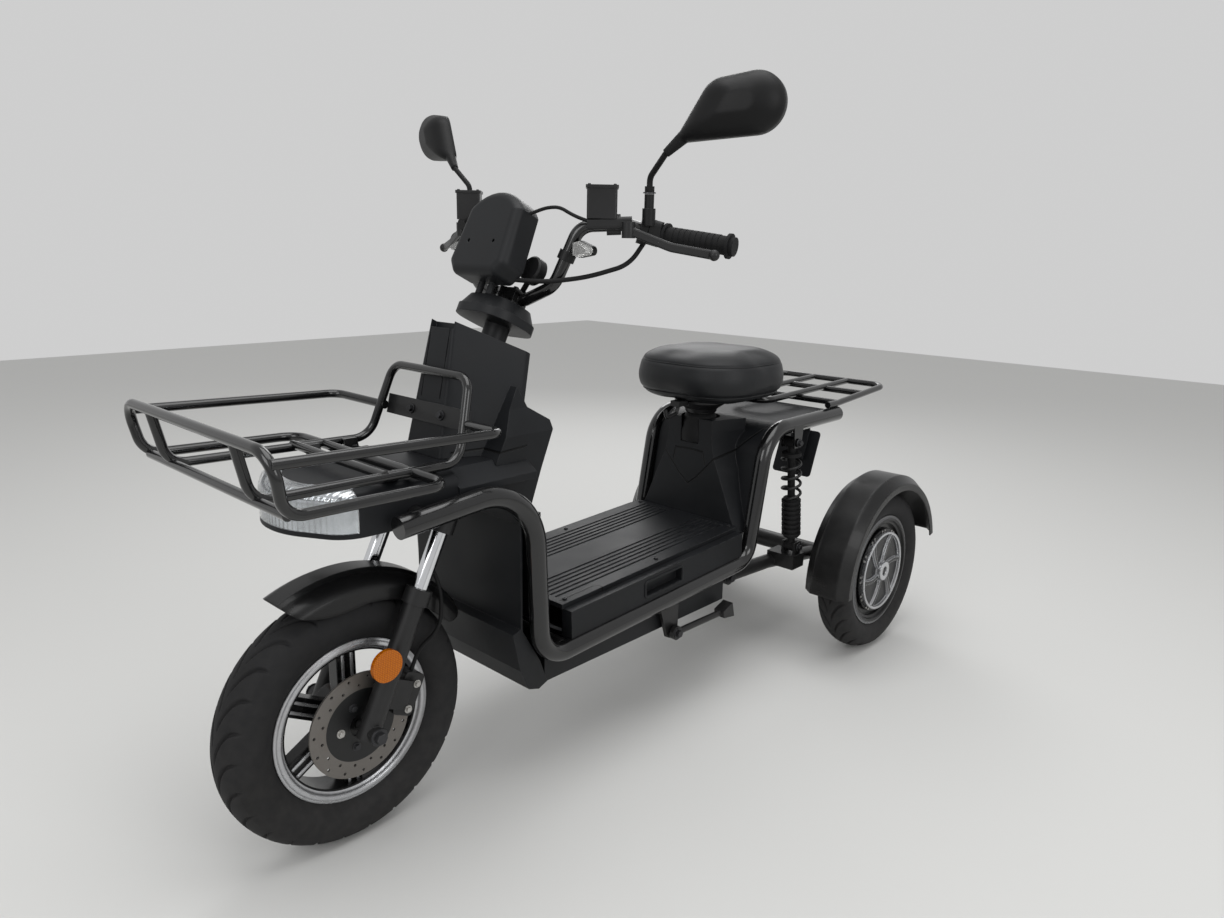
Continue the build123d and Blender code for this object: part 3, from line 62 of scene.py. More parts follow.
# %% Place the camera
camera_place = Vector((1.3313, 1.2084, 0.9885))
camera_yaw = radians(-137.233)
camera_pitch = radians(-13.883)
camera_roll = radians(1.158)
focal_pixels = 867.78
photo_width = 1224
sensor_width = 36


def aimed(place, yaw, pitch, roll):
    forward = Vector((cos(pitch) * cos(yaw), cos(pitch) * sin(yaw), sin(pitch)))
    level = forward.cross(Vector((0, 0, 1))).normalized()
    upright = level.cross(forward)
    right = level * cos(roll) + upright * sin(roll)
    up = upright * cos(roll) - level * sin(roll)
    turned = Matrix((right, up, -forward)).transposed().to_4x4()
    return Matrix.Translation(place) @ turned


lens = bpy.data.cameras.new("camera")
lens.sensor_width = sensor_width
lens.lens = focal_pixels / photo_width * sensor_width
camera = bpy.data.objects.new("camera", lens)
camera.matrix_world = aimed(camera_place, camera_yaw, camera_pitch, camera_roll)
bpy.context.scene.collection.objects.link(camera)
bpy.context.scene.camera = camera
print("lens:", round(lens.lens, 2), "mm")

# %% [markdown]
# The floor and the light
#
# A black machine shows its form by what it reflects. The world is an even pale grey, and
# four broad lamps stand where the open sky was: overhead, off the front, at the left side
# and behind. Their soft edges draw the highlights along the tubes.

# %% Lay the floor and hang the lamps
floor_size = 14
floor_grey = 0.60
floor_roughness = 0.85
world_grey = 0.62
lamps = [
    # name, place, aim, size, watts
    ("overhead", (0.2, 0.4, 3.2), (0.0, 0.0, 0.4), 2.4, 46),
    ("front", (2.6, 0.6, 1.9), (0.4, 0.0, 0.5), 1.2, 14),
    ("side", (0.4, 3.0, 1.7), (0.0, 0.0, 0.4), 1.4, 18),
    ("behind", (-2.2, -2.0, 2.3), (0.0, 0.0, 0.6), 1.6, 22),
]


def shader_of(material):
    return material.node_tree.nodes["Principled BSDF"]


def new_material(name):
    material = bpy.data.materials.new(name)
    material.use_nodes = True
    return material


def shape_object(name, mesh):
    piece = bpy.data.objects.new(name, mesh)
    bpy.context.scene.collection.objects.link(piece)
    return piece


floor_mesh = bpy.data.meshes.new("studio_floor")
built = bmesh.new()
bmesh.ops.create_grid(built, x_segments=1, y_segments=1, size=floor_size / 2)
built.to_mesh(floor_mesh)
built.free()
floor = shape_object("studio_floor", floor_mesh)
floor_finish = new_material("floor_paint")
shader_of(floor_finish).inputs["Base Color"].default_value = (floor_grey, floor_grey, floor_grey * 0.98, 1)
shader_of(floor_finish).inputs["Roughness"].default_value = floor_roughness
floor_mesh.materials.append(floor_finish)

for name, place, aim, size, watts in lamps:
    lamp = bpy.data.lights.new(name, "AREA")
    lamp.shape = "SQUARE"
    lamp.size = size
    lamp.energy = watts
    hung = bpy.data.objects.new(name, lamp)
    hung.location = place
    hung.rotation_euler = (Vector(aim) - Vector(place)).to_track_quat("-Z", "Y").to_euler()
    bpy.context.scene.collection.objects.link(hung)

world = bpy.data.worlds.new("studio")
bpy.context.scene.world = world
world.use_nodes = True
sky = world.node_tree.nodes["Background"]
sky.inputs["Color"].default_value = (world_grey, world_grey, world_grey, 1)
sky.inputs["Strength"].default_value = 1.0
bpy.context.scene.view_settings.view_transform = "Standard"
print("lamps:", len(lamps))

# %% [markdown]
# Finishes
#
# Nothing on a used machine has one flat colour. Each finish here starts from two close
# colours mixed by broad clouds, has a fine grain for its bump, varies its roughness, and
# gathers a little dust towards the ground. Edges are rubbed a shade lighter: where the
# normal of a softened edge differs from the face's own, the paint counts as worn. All
# patterns are read from the piece's own place in metres, so they stay put on it.

# %% Small tools for the finishes
dust_colour = (0.15, 0.14, 0.13, 1)
worn_colour = (0.16, 0.165, 0.17, 1)
# Near black: the panels' joint lines, and the painted shade along the tower's creases
joint_and_crease_shade_colour = (0.001, 0.001, 0.001, 1)
cloud_scale = 7
spot_scale = 60
dust_top = 0.5
dust_foot = 0.02
joint_and_crease_depth = 0.0015


def node(tree, kind, sockets=None, **settings):
    made = tree.nodes.new(kind)
    for key, value in settings.items():
        setattr(made, key, value)
    for key, value in (sockets or {}).items():
        if isinstance(value, bpy.types.NodeSocket):
            tree.links.new(value, made.inputs[key])
        else:
            made.inputs[key].default_value = value
    return made


def calc(tree, operation, first, second=0.0, third=0.0):
    return node(tree, "ShaderNodeMath", {0: first, 1: second, 2: third}, operation=operation).outputs[0]


def times(tree, first, second):
    return calc(tree, "MULTIPLY", first, second)


def above(tree, value, limit):
    return calc(tree, "GREATER_THAN", value, limit)


def below(tree, value, limit):
    return calc(tree, "LESS_THAN", value, limit)


def ramp(tree, value, low, high, to_low=0.0, to_high=1.0):
    sockets = {"Value": value, "From Min": low, "From Max": high, "To Min": to_low, "To Max": to_high}
    return node(tree, "ShaderNodeMapRange", sockets).outputs["Result"]


def mix(tree, factor, first, second):
    made = node(tree, "ShaderNodeMix", {0: factor, 6: first, 7: second}, data_type="RGBA")
    return made.outputs[2]


def noise(tree, place, scale, detail=3.0):
    return node(tree, "ShaderNodeTexNoise", {"Vector": place, "Scale": scale, "Detail": detail}).outputs[0]


def bumped(tree, height, distance, normal=None):
    sockets = {"Height": height, "Distance": distance}
    if normal is not None:
        sockets["Normal"] = normal
    return node(tree, "ShaderNodeBump", sockets).outputs[0]


def piece_place(tree):
    return node(tree, "ShaderNodeTexCoord").outputs["Object"]


def axes_of(tree, vector):
    return node(tree, "ShaderNodeSeparateXYZ", {"Vector": vector}).outputs


# 1 at an edge of the shape and 0 on its faces, with the softened normal that it came from
def edge_mask(tree, radius, sharpest):
    softened = node(tree, "ShaderNodeBevel", {"Radius": radius}, samples=4).outputs[0]
    flat = node(tree, "ShaderNodeNewGeometry").outputs["Normal"]
    product = node(tree, "ShaderNodeVectorMath", {0: softened, 1: flat}, operation="DOT_PRODUCT")
    return ramp(tree, product.outputs["Value"], 0.97, sharpest), softened


# How near a point of the surface is to a drawn line: 1 on the line, 0 beside it
def line_mask(tree, across, up, start, end, width):
    run = (end[0] - start[0], end[1] - start[1])
    long = run[0] ** 2 + run[1] ** 2
    from_start = (calc(tree, "SUBTRACT", across, start[0]), calc(tree, "SUBTRACT", up, start[1]))
    part = calc(tree, "MULTIPLY_ADD", from_start[0], run[0], times(tree, from_start[1], run[1]))
    part = node(tree, "ShaderNodeClamp", {"Value": calc(tree, "DIVIDE", part, long)}).outputs[0]
    side = calc(tree, "SUBTRACT", from_start[0], times(tree, part, run[0]))
    rise = calc(tree, "SUBTRACT", from_start[1], times(tree, part, run[1]))
    square = calc(tree, "ADD", times(tree, side, side), times(tree, rise, rise))
    return ramp(tree, calc(tree, "SQRT", square), width / 2, width, 1.0, 0.0)


# Powder lies thickest near the ground and in patches
def dust_mask(tree, place, spots, dust):
    by_height = ramp(tree, axes_of(tree, place)["Z"], dust_top, dust_foot, 0.15 * dust, dust)
    return times(tree, by_height, ramp(tree, spots, 0.3, 0.75, 0.4, 1.0))


# The common body of a finish, joined to the sockets of the material's shader
def worn_finish(material, dark, light, rough, grain, depth, dust, wear, soften, lines=None):
    tree = material.node_tree
    shader = shader_of(material)
    place = piece_place(tree)
    clouds = noise(tree, place, cloud_scale, 5)
    specks = noise(tree, place, 1 / grain, 2)
    spots = noise(tree, place, spot_scale, 4)
    colour = mix(tree, ramp(tree, clouds, 0.35, 0.65), dark, light)
    edge, normal = edge_mask(tree, soften, 0.72)
    rubbed = times(tree, times(tree, edge, wear), ramp(tree, spots, 0.4, 0.6))
    colour = mix(tree, rubbed, colour, worn_colour)
    powder = dust_mask(tree, place, spots, dust)
    colour = mix(tree, powder, colour, dust_colour)
    # Drawn lines go near black and sink: joints, and on the tower painted crease shade
    if lines:
        drawn = lines(tree, axes_of(tree, place))
        colour = mix(tree, drawn, colour, joint_and_crease_shade_colour)
        normal = bumped(tree, calc(tree, "SUBTRACT", 1.0, drawn), joint_and_crease_depth, normal)
    roughness = ramp(tree, clouds, 0.3, 0.7, rough - 0.06, rough + 0.07)
    roughness = calc(tree, "MULTIPLY_ADD", powder, 0.5, roughness)
    tree.links.new(colour, shader.inputs["Base Color"])
    tree.links.new(bumped(tree, specks, depth, normal), shader.inputs["Normal"])
    tree.links.new(roughness, shader.inputs["Roughness"])
    return material


print("finish tools ready")

# %% [markdown]
# The plain finishes
#
# One row for each. Gloss paint is for the bent tubes, satin paint for castings and
# brackets, and the grained plastic for the moulded panels. The grain is its size in
# metres, the depth how far it stands up, and the shine how strongly it reflects. The
# mudguards and the mirror cases are soft mouldings, so their edges are rounded by a whole
# centimetre in the shading. A tint gives the greys a slight lean to blue.

# %% Mix the plain finishes
plain = [
    # name, dark, light, roughness, grain, depth, metal, coat, shine, dust, wear, edge softness
    ("gloss_paint", 0.0030, 0.0050, 0.18, 0.0030, 0.00002, 0.0, 0.6, 0.35, 0.03, 0.30, 0.0012),
    ("satin_paint", 0.0045, 0.0085, 0.40, 0.0012, 0.00005, 0.0, 0.1, 0.35, 0.08, 0.35, 0.0012),
    ("panel_plastic", 0.0065, 0.0100, 0.48, 0.0009, 0.00006, 0.0, 0.0, 0.22, 0.05, 0.25, 0.0020),
    ("guard_plastic", 0.0040, 0.0062, 0.30, 0.0010, 0.00003, 0.0, 0.1, 0.30, 0.07, 0.00, 0.0100),
    ("case_plastic", 0.0075, 0.0105, 0.46, 0.0008, 0.00005, 0.0, 0.0, 0.25, 0.03, 0.20, 0.0030),
    ("black_plastic", 0.0035, 0.0060, 0.42, 0.0010, 0.00004, 0.0, 0.0, 0.28, 0.05, 0.20, 0.0012),
    ("mirror_case", 0.0035, 0.0050, 0.46, 0.0010, 0.00004, 0.0, 0.0, 0.22, 0.02, 0.00, 0.0100),
    ("soft_rubber", 0.0045, 0.0080, 0.62, 0.0014, 0.00008, 0.0, 0.0, 0.20, 0.08, 0.10, 0.0008),
    ("tyre_rubber", 0.0105, 0.0160, 0.66, 0.0016, 0.00010, 0.0, 0.0, 0.16, 0.14, 0.15, 0.0006),
    ("dark_steel", 0.0250, 0.0450, 0.38, 0.0010, 0.00004, 0.7, 0.0, 0.50, 0.10, 0.40, 0.0006),
    ("zinc", 0.4200, 0.5500, 0.30, 0.0010, 0.00004, 1.0, 0.0, 0.50, 0.15, 0.10, 0.0006),
]
usual_tint = (0.98, 1.0, 1.08)
tints = {"panel_plastic": (0.90, 1.0, 1.18), "case_plastic": (0.92, 1.0, 1.14), "zinc": (1.0, 0.98, 0.94)}
coat_roughness = 0.06


def tinted(grey, tint):
    return tuple(grey * part for part in tint) + (1,)


finishes = {}
for name, dark, light, rough, grain, depth, metal, coat, shine, dust, wear, soften in plain:
    tint = tints.get(name, usual_tint)
    material = new_material(name)
    sockets = shader_of(material).inputs
    sockets["Metallic"].default_value = metal
    sockets["Coat Weight"].default_value = coat
    sockets["Coat Roughness"].default_value = coat_roughness
    sockets["Specular IOR Level"].default_value = shine
    pair = (tinted(dark, tint), tinted(light, tint))
    finishes[name] = worn_finish(material, *pair, rough, grain, depth, dust, wear, soften)
print("plain finishes:", len(finishes))

# %% [markdown]
# Panels with joint lines, and painted shade on the tower
#
# The big cover behind the front wheel is made of several mouldings, and the floor has a small
# cover at its front corner. Their joints are thin dark lines. The tower under the saddle gets
# the same thin dark lines along its creases and round its recess: that is painted shade. Each
# line is a stretch in a flat view, and the shader darkens and sinks it.

# %% Draw the panel joints and the tower's painted crease shade
front_axle = Vector((0.670, 0.0, 0.218))
rear_axle = Vector((-0.648, 0.0, 0.204))
joint_and_crease_width = 0.0022


def drawn_runs(tree, across, up, runs):
    total = 0.0
    for start, end in runs:
        total = calc(tree, "MAXIMUM", line_mask(tree, across, up, start, end, joint_and_crease_width), total)
    return total


# Seen from the side
def shield_lines(tree, axes):
    return drawn_runs(tree, axes["X"], axes["Z"], [((0.480, 0.645), (0.372, 0.652))])


# Painted shade along the tower's creases, seen from the front, the same on both sides of the middle
def tower_crease_shade_lines(tree, axes):
    runs = [
        ((0.0, 0.446), (0.023, 0.464)),
        ((0.023, 0.464), (0.090, 0.536)),
        ((0.090, 0.536), (0.140, 0.588)),
        ((0.0, 0.530), (0.040, 0.528)),
        ((0.040, 0.528), (0.046, 0.500)),
    ]
    return drawn_runs(tree, calc(tree, "ABSOLUTE", axes["Y"]), axes["Z"], runs)


# Seen from above
def floor_lines(tree, axes):
    runs = [
        ((0.301, 0.133), (0.214, 0.133)),
        ((0.214, 0.133), (0.206, 0.141)),
        ((0.206, 0.141), (0.206, 0.152)),
    ]
    return drawn_runs(tree, axes["X"], calc(tree, "ABSOLUTE", axes["Y"]), runs)


dark_panel = (0.0060, 0.0067, 0.0079, 1)
light_panel = (0.0090, 0.0100, 0.0118, 1)
# Roughness, grain, depth, dust, wear and edge softness
panel_row = (0.46, 0.0009, 0.00006, 0.05, 0.25, 0.002)
panel_shine = 0.22
# The shield's and the floor's lines are joints; the tower's lines are painted crease shade
lined_panels = {"shield_plastic": shield_lines, "tower_plastic": tower_crease_shade_lines, "floor_plastic": floor_lines}
for name, lines in lined_panels.items():
    material = new_material(name)
    shader_of(material).inputs["Specular IOR Level"].default_value = panel_shine
    finishes[name] = worn_finish(material, dark_panel, light_panel, *panel_row, lines)
print("panels with joints:", len(lined_panels))

# %% [markdown]
# Wheels in two colours, and a painted highlight on the rear rims
#
# The front wheel is gloss black with a bright machined lip and bright ridges on its
# spokes. The colour is chosen by where a point lies: how far it is from the axle, and how
# far out to the side. The hub covers are black with every edge machined bright, and the
# same measure that finds worn edges finds those. The black rear rims get a painted
# highlight: their edge beside the tyre is made partly bright.

# %% Finish the wheels
bright = (0.60, 0.61, 0.63, 1)
duller_bright = (0.46, 0.46, 0.47, 1)
gloss_black = (0.0025, 0.0026, 0.0030, 1)
grime_colour = (0.08, 0.075, 0.07, 1)


# How far a point is from the axle, and how far it is from the machine's middle plane
def from_axle(tree, place, axle):
    shifted = node(tree, "ShaderNodeVectorMath", {0: place, 1: (axle.x, 0, axle.z)}, operation="SUBTRACT")
    axes = axes_of(tree, shifted.outputs[0])
    square = calc(tree, "ADD", times(tree, axes["X"], axes["X"]), times(tree, axes["Z"], axes["Z"]))
    return calc(tree, "SQRT", square), calc(tree, "ABSOLUTE", axes["Y"])


# Fine rings, as a lathe leaves them
def lathe_rings(tree, radius, per_metre, detail):
    turning = node(tree, "ShaderNodeCombineXYZ", {"X": times(tree, radius, per_metre)}).outputs[0]
    return noise(tree, turning, 1.0, detail)


def tone_by_place(name, axle, bright_part):
    material = new_material(name)
    tree = material.node_tree
    shader = shader_of(material)
    shader.inputs["Specular IOR Level"].default_value = 0.3
    place = piece_place(tree)
    radius, side = from_axle(tree, place, axle)
    edge, softened = edge_mask(tree, 0.0045, 0.95)
    mask = bright_part(tree, radius, side, edge)
    clouds = noise(tree, place, 9, 5)
    spots = noise(tree, place, 120, 3)
    metal = mix(tree, ramp(tree, clouds, 0.35, 0.65), bright, duller_bright)
    grime = times(tree, ramp(tree, spots, 0.5, 0.75), 0.15)
    colour = mix(tree, grime, mix(tree, mask, gloss_black, metal), grime_colour)
    bump = bumped(tree, lathe_rings(tree, radius, 2600.0, 2), 0.00002, softened)
    tree.links.new(colour, shader.inputs["Base Color"])
    tree.links.new(times(tree, mask, 0.85), shader.inputs["Metallic"])
    tree.links.new(ramp(tree, clouds, 0.3, 0.7, 0.2, 0.34), shader.inputs["Roughness"])
    tree.links.new(bump, shader.inputs["Normal"])
    return material


# The front rim's machined lip, on its outer side
def lip_part(tree, radius, side, edge):
    return times(tree, above(tree, radius, 0.1225), above(tree, side, 0.024))


# The ridges along the front spokes, from the hub's plate outwards
def ridge_part(tree, radius, side, edge):
    ridge = times(tree, above(tree, side, 0.0155), above(tree, radius, 0.0425))
    return times(tree, ridge, below(tree, side, 0.020))


# The hub cover's ring and cap, and the edges and walls of the blades that stand on it
def blade_part(tree, radius, side, edge):
    ring = above(tree, radius, 0.0935)
    cap = below(tree, radius, 0.0245)
    facing = axes_of(tree, node(tree, "ShaderNodeNewGeometry").outputs["Normal"])["Y"]
    wall = below(tree, calc(tree, "ABSOLUTE", facing), 0.6)
    standing = times(tree, above(tree, side, 0.3070), calc(tree, "MAXIMUM", edge, wall))
    return calc(tree, "MAXIMUM", calc(tree, "MAXIMUM", ring, cap), standing)


# Painted highlight: the black rear rim's edge beside the tyre, made partly bright metal
def rim_edge_painted_highlight(tree, radius, side, edge):
    return times(tree, above(tree, radius, 0.134), 0.35)


places_toned = [
    ("front_rim", front_axle, lip_part),
    ("front_hub", front_axle, ridge_part),
    ("hub_cover", rear_axle, blade_part),
    ("rear_rim", rear_axle, rim_edge_painted_highlight),
]
for row in places_toned:
    finishes[row[0]] = tone_by_place(*row)
print("wheels in two colours:", len(places_toned))

# %% [markdown]
# The brake rotor
#
# The rotor's band is ground steel with a brown bloom of rust and heat. Its carrier, nearer
# the axle, is black. The drilled holes are already in the solid.

# %% Finish the rotor
rotor_band = 0.0625
rust_colour = (0.12, 0.085, 0.06, 1)


def rotor_finish():
    material = new_material("rotor_steel")
    tree = material.node_tree
    shader = shader_of(material)
    place = piece_place(tree)
    radius = from_axle(tree, place, front_axle)[0]
    band = above(tree, radius, rotor_band)
    rings = lathe_rings(tree, radius, 1800.0, 3)
    clouds = noise(tree, place, 14, 4)
    steel = mix(tree, rings, (0.13, 0.12, 0.11, 1), (0.24, 0.225, 0.21, 1))
    steel = mix(tree, ramp(tree, clouds, 0.5, 0.8, 0.0, 0.4), steel, rust_colour)
    tree.links.new(mix(tree, band, gloss_black, steel), shader.inputs["Base Color"])
    tree.links.new(times(tree, band, 0.8), shader.inputs["Metallic"])
    tree.links.new(ramp(tree, clouds, 0.3, 0.7, 0.36, 0.52), shader.inputs["Roughness"])
    tree.links.new(bumped(tree, rings, 0.00005), shader.inputs["Normal"])
    return material


finishes["rotor"] = rotor_finish()
print("rotor band from", rotor_band, "m")

# %% [markdown]
# Chrome, glass and reflectors
#
# Chrome and mirror glass are nearly pure reflection, so their marks are in the
# roughness: faint smears and pits. The lamp's lens is clear, and the bowl behind it is
# fluted, which gives the pale upright stripes. The amber reflectors have the small
# corner prisms that send light back.

# %% Finish the bright and clear pieces
def bright_finish(name, colour, rough, metal, pits, transmission=0.0):
    material = new_material(name)
    tree = material.node_tree
    shader = shader_of(material)
    shader.inputs["Metallic"].default_value = metal
    shader.inputs["Transmission Weight"].default_value = transmission
    shader.inputs["IOR"].default_value = 1.49
    place = piece_place(tree)
    smears = noise(tree, place, 22, 5)
    dim = tuple(part * 0.86 for part in colour)
    smeared = mix(tree, ramp(tree, smears, 0.4, 0.7), colour + (1,), dim + (1,))
    tree.links.new(smeared, shader.inputs["Base Color"])
    tree.links.new(ramp(tree, smears, 0.4, 0.75, rough, rough + 0.12), shader.inputs["Roughness"])
    tree.links.new(bumped(tree, noise(tree, place, 900, 2), pits), shader.inputs["Normal"])
    return material


clear_rows = [
    # name, colour, roughness, metal, pits, clearness
    ("chrome", (0.74, 0.75, 0.77), 0.08, 1.0, 0.00001, 0.0),
    ("mirror_glass", (0.70, 0.74, 0.78), 0.02, 1.0, 0.000002, 0.0),
    ("clear_lens", (0.94, 0.96, 0.97), 0.03, 0.0, 0.00001, 0.94),
    ("signal_lens", (0.80, 0.80, 0.79), 0.10, 0.0, 0.00003, 0.75),
    ("display_glass", (0.006, 0.007, 0.009), 0.05, 0.0, 0.000003, 0.0),
]
for row in clear_rows:
    finishes[row[0]] = bright_finish(*row)


def fluted_bowl():
    material = bright_finish("lamp_bowl", (0.70, 0.71, 0.73), 0.12, 1.0, 0.00001)
    tree = material.node_tree
    flutes = calc(tree, "SINE", times(tree, axes_of(tree, piece_place(tree))["Y"], 760.0))
    tree.links.new(bumped(tree, flutes, 0.0005), shader_of(material).inputs["Normal"])
    return material


def prism_amber():
    material = bright_finish("amber_prism", (0.62, 0.20, 0.012), 0.16, 0.0, 0.0001)
    tree = material.node_tree
    shader = shader_of(material)
    shader.inputs["Specular IOR Level"].default_value = 0.3
    prisms = {"Vector": piece_place(tree), "Scale": 330.0, "Randomness": 0.15}
    cells = node(tree, "ShaderNodeTexVoronoi", prisms).outputs["Distance"]
    colour = mix(tree, ramp(tree, cells, 0.1, 0.6), (0.62, 0.19, 0.002, 1), (0.30, 0.06, 0.001, 1))
    tree.links.new(colour, shader.inputs["Base Color"])
    tree.links.new(bumped(tree, cells, 0.0004), shader.inputs["Normal"])
    return material


finishes["lamp_bowl"] = fluted_bowl()
finishes["amber"] = prism_amber()
print("bright finishes ready, in all:", len(finishes))

# %% [markdown]
# Each solid gets its finish
#
# One row for each finish, with the solids that get it. The solids keep their shapes: only
# the material in each one's slot changes. The saddle and the tyres aren't in the table,
# because new pieces stand in for them.

# %% Dress the solids
dressed = {
    "gloss_paint": ["frame_tube_left", "frame_tube_right", "front_rack", "rear_rack", "handlebar"],
    "satin_paint": ["fork_yoke", "fork_legs", "brake_caliper", "brake_levers", "head_tube", "rack_plate",
                    "frame_cross_tubes", "stand_bracket", "side_stand", "bag_hook", "seat_post",
                    "swingarm", "shock_springs"],
    "panel_plastic": ["nose_panel", "knee_panel", "wheel_shroud", "side_panels", "belly_cover",
                      "plate_bracket"],
    "shield_plastic": ["leg_shield"],
    "tower_plastic": ["seat_tower"],
    "floor_plastic": ["floorboard"],
    "guard_plastic": ["front_mudguard", "rear_mudguard_left", "rear_mudguard_right"],
    "case_plastic": ["instrument_pod", "headset_cap"],
    "black_plastic": ["switch_pods", "turn_signals", "horn", "battery"],
    "mirror_case": ["mirrors"],
    "soft_rubber": ["grips", "shock_bodies", "brake_hose", "control_cables"],
    "front_rim": ["front_rim"],
    "front_hub": ["front_hub"],
    "rotor": ["brake_rotor"],
    "rear_rim": ["motor_wheel_left", "motor_wheel_right"],
    "hub_cover": ["hub_cover_left", "hub_cover_right"],
    "chrome": ["fork_stanchions"],
    "mirror_glass": ["mirror_glass"],
    "clear_lens": ["headlamp_lens"],
    "signal_lens": ["signal_lenses"],
    "lamp_bowl": ["headlamp_reflector"],
    "amber": ["fork_reflectors"],
}
new_pieces_for = {"saddle", "front_tyre", "rear_tyre_left", "rear_tyre_right"}
done = set()
for finish_name, names in dressed.items():
    for name in names:
        nodes[name].data.materials.clear()
        nodes[name].data.materials.append(finishes[finish_name])
        done.add(name)
print("dressed:", len(done), "without a finish:", sorted(set(nodes) - done - new_pieces_for))

# %% [markdown]
# Small tools for the shapes
#
# Every new piece starts as a bmesh: a few points or a plain shape, worked on by operators.
# A full spin turns an outline into a closed body, a bevel rounds edges, and at the end the
# bmesh becomes an object that rides on a body and takes one of the finishes.

# %% Small tools for the shapes
whole_turn = 2 * pi
same_point = 0.00001


def spun_round(built, middle, axis, steps, merge):
    outline = list(built.verts) + list(built.edges)
    bmesh.ops.spin(
        built, geom=outline, cent=middle, axis=axis, angle=whole_turn, steps=steps, use_merge=True
    )
    bmesh.ops.remove_doubles(built, verts=built.verts, dist=merge)


def rounded(built, geom, offset, segments, affect="EDGES"):
    bmesh.ops.bevel(
        built, geom=geom, affect=affect, offset=offset, segments=segments, profile=0.5, material=-1
    )


def add_piece(name, built, finish, body, smooth=False):
    bmesh.ops.recalc_face_normals(built, faces=built.faces)
    for face in built.faces:
        face.smooth = smooth
    mesh = bpy.data.meshes.new(name)
    built.to_mesh(mesh)
    built.free()
    piece = shape_object(name, mesh)
    mesh.materials.append(finishes[finish])
    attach(piece, body)
    return piece


print("shape tools ready")

# %% [markdown]
# Tyres with tread
#
# The solid tyre has the right section and nothing on it. A new tyre starts from a few
# points: each is spun about the middle of an arc to draw the wall and the crown, the half
# outline is mirrored, and the whole of it is spun round the axle. Then the tread is
# pressed in. A groove leaves the middle of the crown deep and wide, runs round the tyre
# at first, turns outwards and thins out over the shoulder. A point's angle, less the
# sweep at its place across the tyre, says how near it is to a groove.

# %% Draw the tyre's outline
rim_lip = 0.1408
bead_half = 0.0277
bead_seat = 0.1268
outline_merge = 0.00002


def arc_middle(a, b, c):
    ax, ay, bx, by, cx, cy = *a, *b, *c
    d = 2 * (ax * (by - cy) + bx * (cy - ay) + cx * (ay - by))
    squares = [x * x + y * y for x, y in (a, b, c)]
    x = (squares[0] * (by - cy) + squares[1] * (cy - ay) + squares[2] * (ay - by)) / d
    y = (squares[0] * (cx - bx) + squares[1] * (ax - cx) + squares[2] * (bx - ax)) / d
    return x, y


# Spin one point about the arc's middle, as seen along the X axis, and give its last copy
def spun_point(built, point, start, passing, end, steps):
    y, z = arc_middle(start, passing, end)
    first = atan2(start[1] - z, start[0] - y)
    turn = (atan2(end[1] - z, end[0] - y) - first + pi) % whole_turn - pi
    middle = (point.co.x, y, z)
    made = bmesh.ops.spin(built, geom=[point], cent=middle, axis=(1, 0, 0), angle=turn, steps=steps)
    return next(item for item in made["geom_last"] if isinstance(item, bmesh.types.BMVert))


# Half of the section from the bead seat to the crown, mirrored, and closed along the rim
def tyre_outline(shoulder, wall, outer):
    foot = (bead_half, rim_lip)
    built = bmesh.new()
    seat = built.verts.new((0, bead_half, bead_seat))
    lip = bmesh.ops.extrude_vert_indiv(built, verts=[seat])["verts"][0]
    lip.co = Vector((0, *foot))
    turned = spun_point(built, lip, foot, wall, shoulder, 16)
    spun_point(built, turned, shoulder, (0, outer), (-shoulder[0], shoulder[1]), 44)
    spare = [item for item in built.verts if item.co.y < -same_point]
    bmesh.ops.delete(built, geom=spare, context="VERTS")
    outline = list(built.verts) + list(built.edges)
    bmesh.ops.mirror(built, geom=outline, axis="Y", merge_dist=outline_merge)
    bmesh.ops.remove_doubles(built, verts=built.verts, dist=outline_merge)
    ends = [item for item in built.verts if len(item.link_edges) == 1]
    bmesh.ops.contextual_create(built, geom=ends)
    return built


print("rim lip:", rim_lip, "m")

# %% Press in the tread
groove_width = 0.0046
groove_thinning = 0.0027
groove_deep = 0.0055
groove_wall = 0.0012
groove_slant = 0.6
bend_power = 2.2
rib_half = 0.06
rib_wall = 0.07
groove_end = 1.30
fades_over = 0.5
wall_run = 0.02


def clamped(value):
    return min(1.0, max(0.0, value))


# How deep the tread is here, in metres; across is 0 in the middle and 1 at the shoulder
def groove_depth(angle, across, pitch, sweep, radius):
    out = abs(across)
    side = 0.5 if across > 0 else 0.0
    bend = -sweep * (1 - (1 - min(out, 1.0)) ** bend_power)
    width = groove_width - groove_thinning * min(out, 1.0)
    near = ((angle - bend) / pitch + side) % 1.0
    near = min(near, 1 - near) * pitch * radius * groove_slant
    beside_rib = clamped((out - rib_half) / rib_wall)
    before_end = clamped((groove_end - out) / fades_over)
    return clamped((width - near) / groove_wall) * groove_deep * (beside_rib * before_end)


def press_tread(built, shoulder, outer, grooves, sweep):
    for point in built.verts:
        radius = (point.co.x ** 2 + point.co.z ** 2) ** 0.5
        across = point.co.y / shoulder[0]
        if radius < shoulder[1]:
            across = (1 + (shoulder[1] - radius) / wall_run) * (1 if point.co.y > 0 else -1)
        if radius > rim_lip + wall_run:
            angle = atan2(point.co.x, point.co.z)
            less = groove_depth(angle, across, whole_turn / grooves, sweep, outer)
            point.co.x *= 1 - less / radius
            point.co.z *= 1 - less / radius


def tread_tyre(name, node_name, body, axle, middle, outer, width, steps, grooves, sweep):
    shoulder = (width * 0.42, outer - width * 0.16)
    wall = (width / 2, (rim_lip + outer) / 2)
    built = tyre_outline(shoulder, wall, outer)
    spun_round(built, (0, 0, 0), (0, 1, 0), steps, outline_merge)
    press_tread(built, shoulder, outer, grooves, sweep)
    bmesh.ops.translate(built, verts=built.verts, vec=(axle.x, middle, axle.z))
    tyre = add_piece(name, built, "tyre_rubber", body, smooth=True)
    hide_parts(node_name)
    return len(tyre.data.polygons)


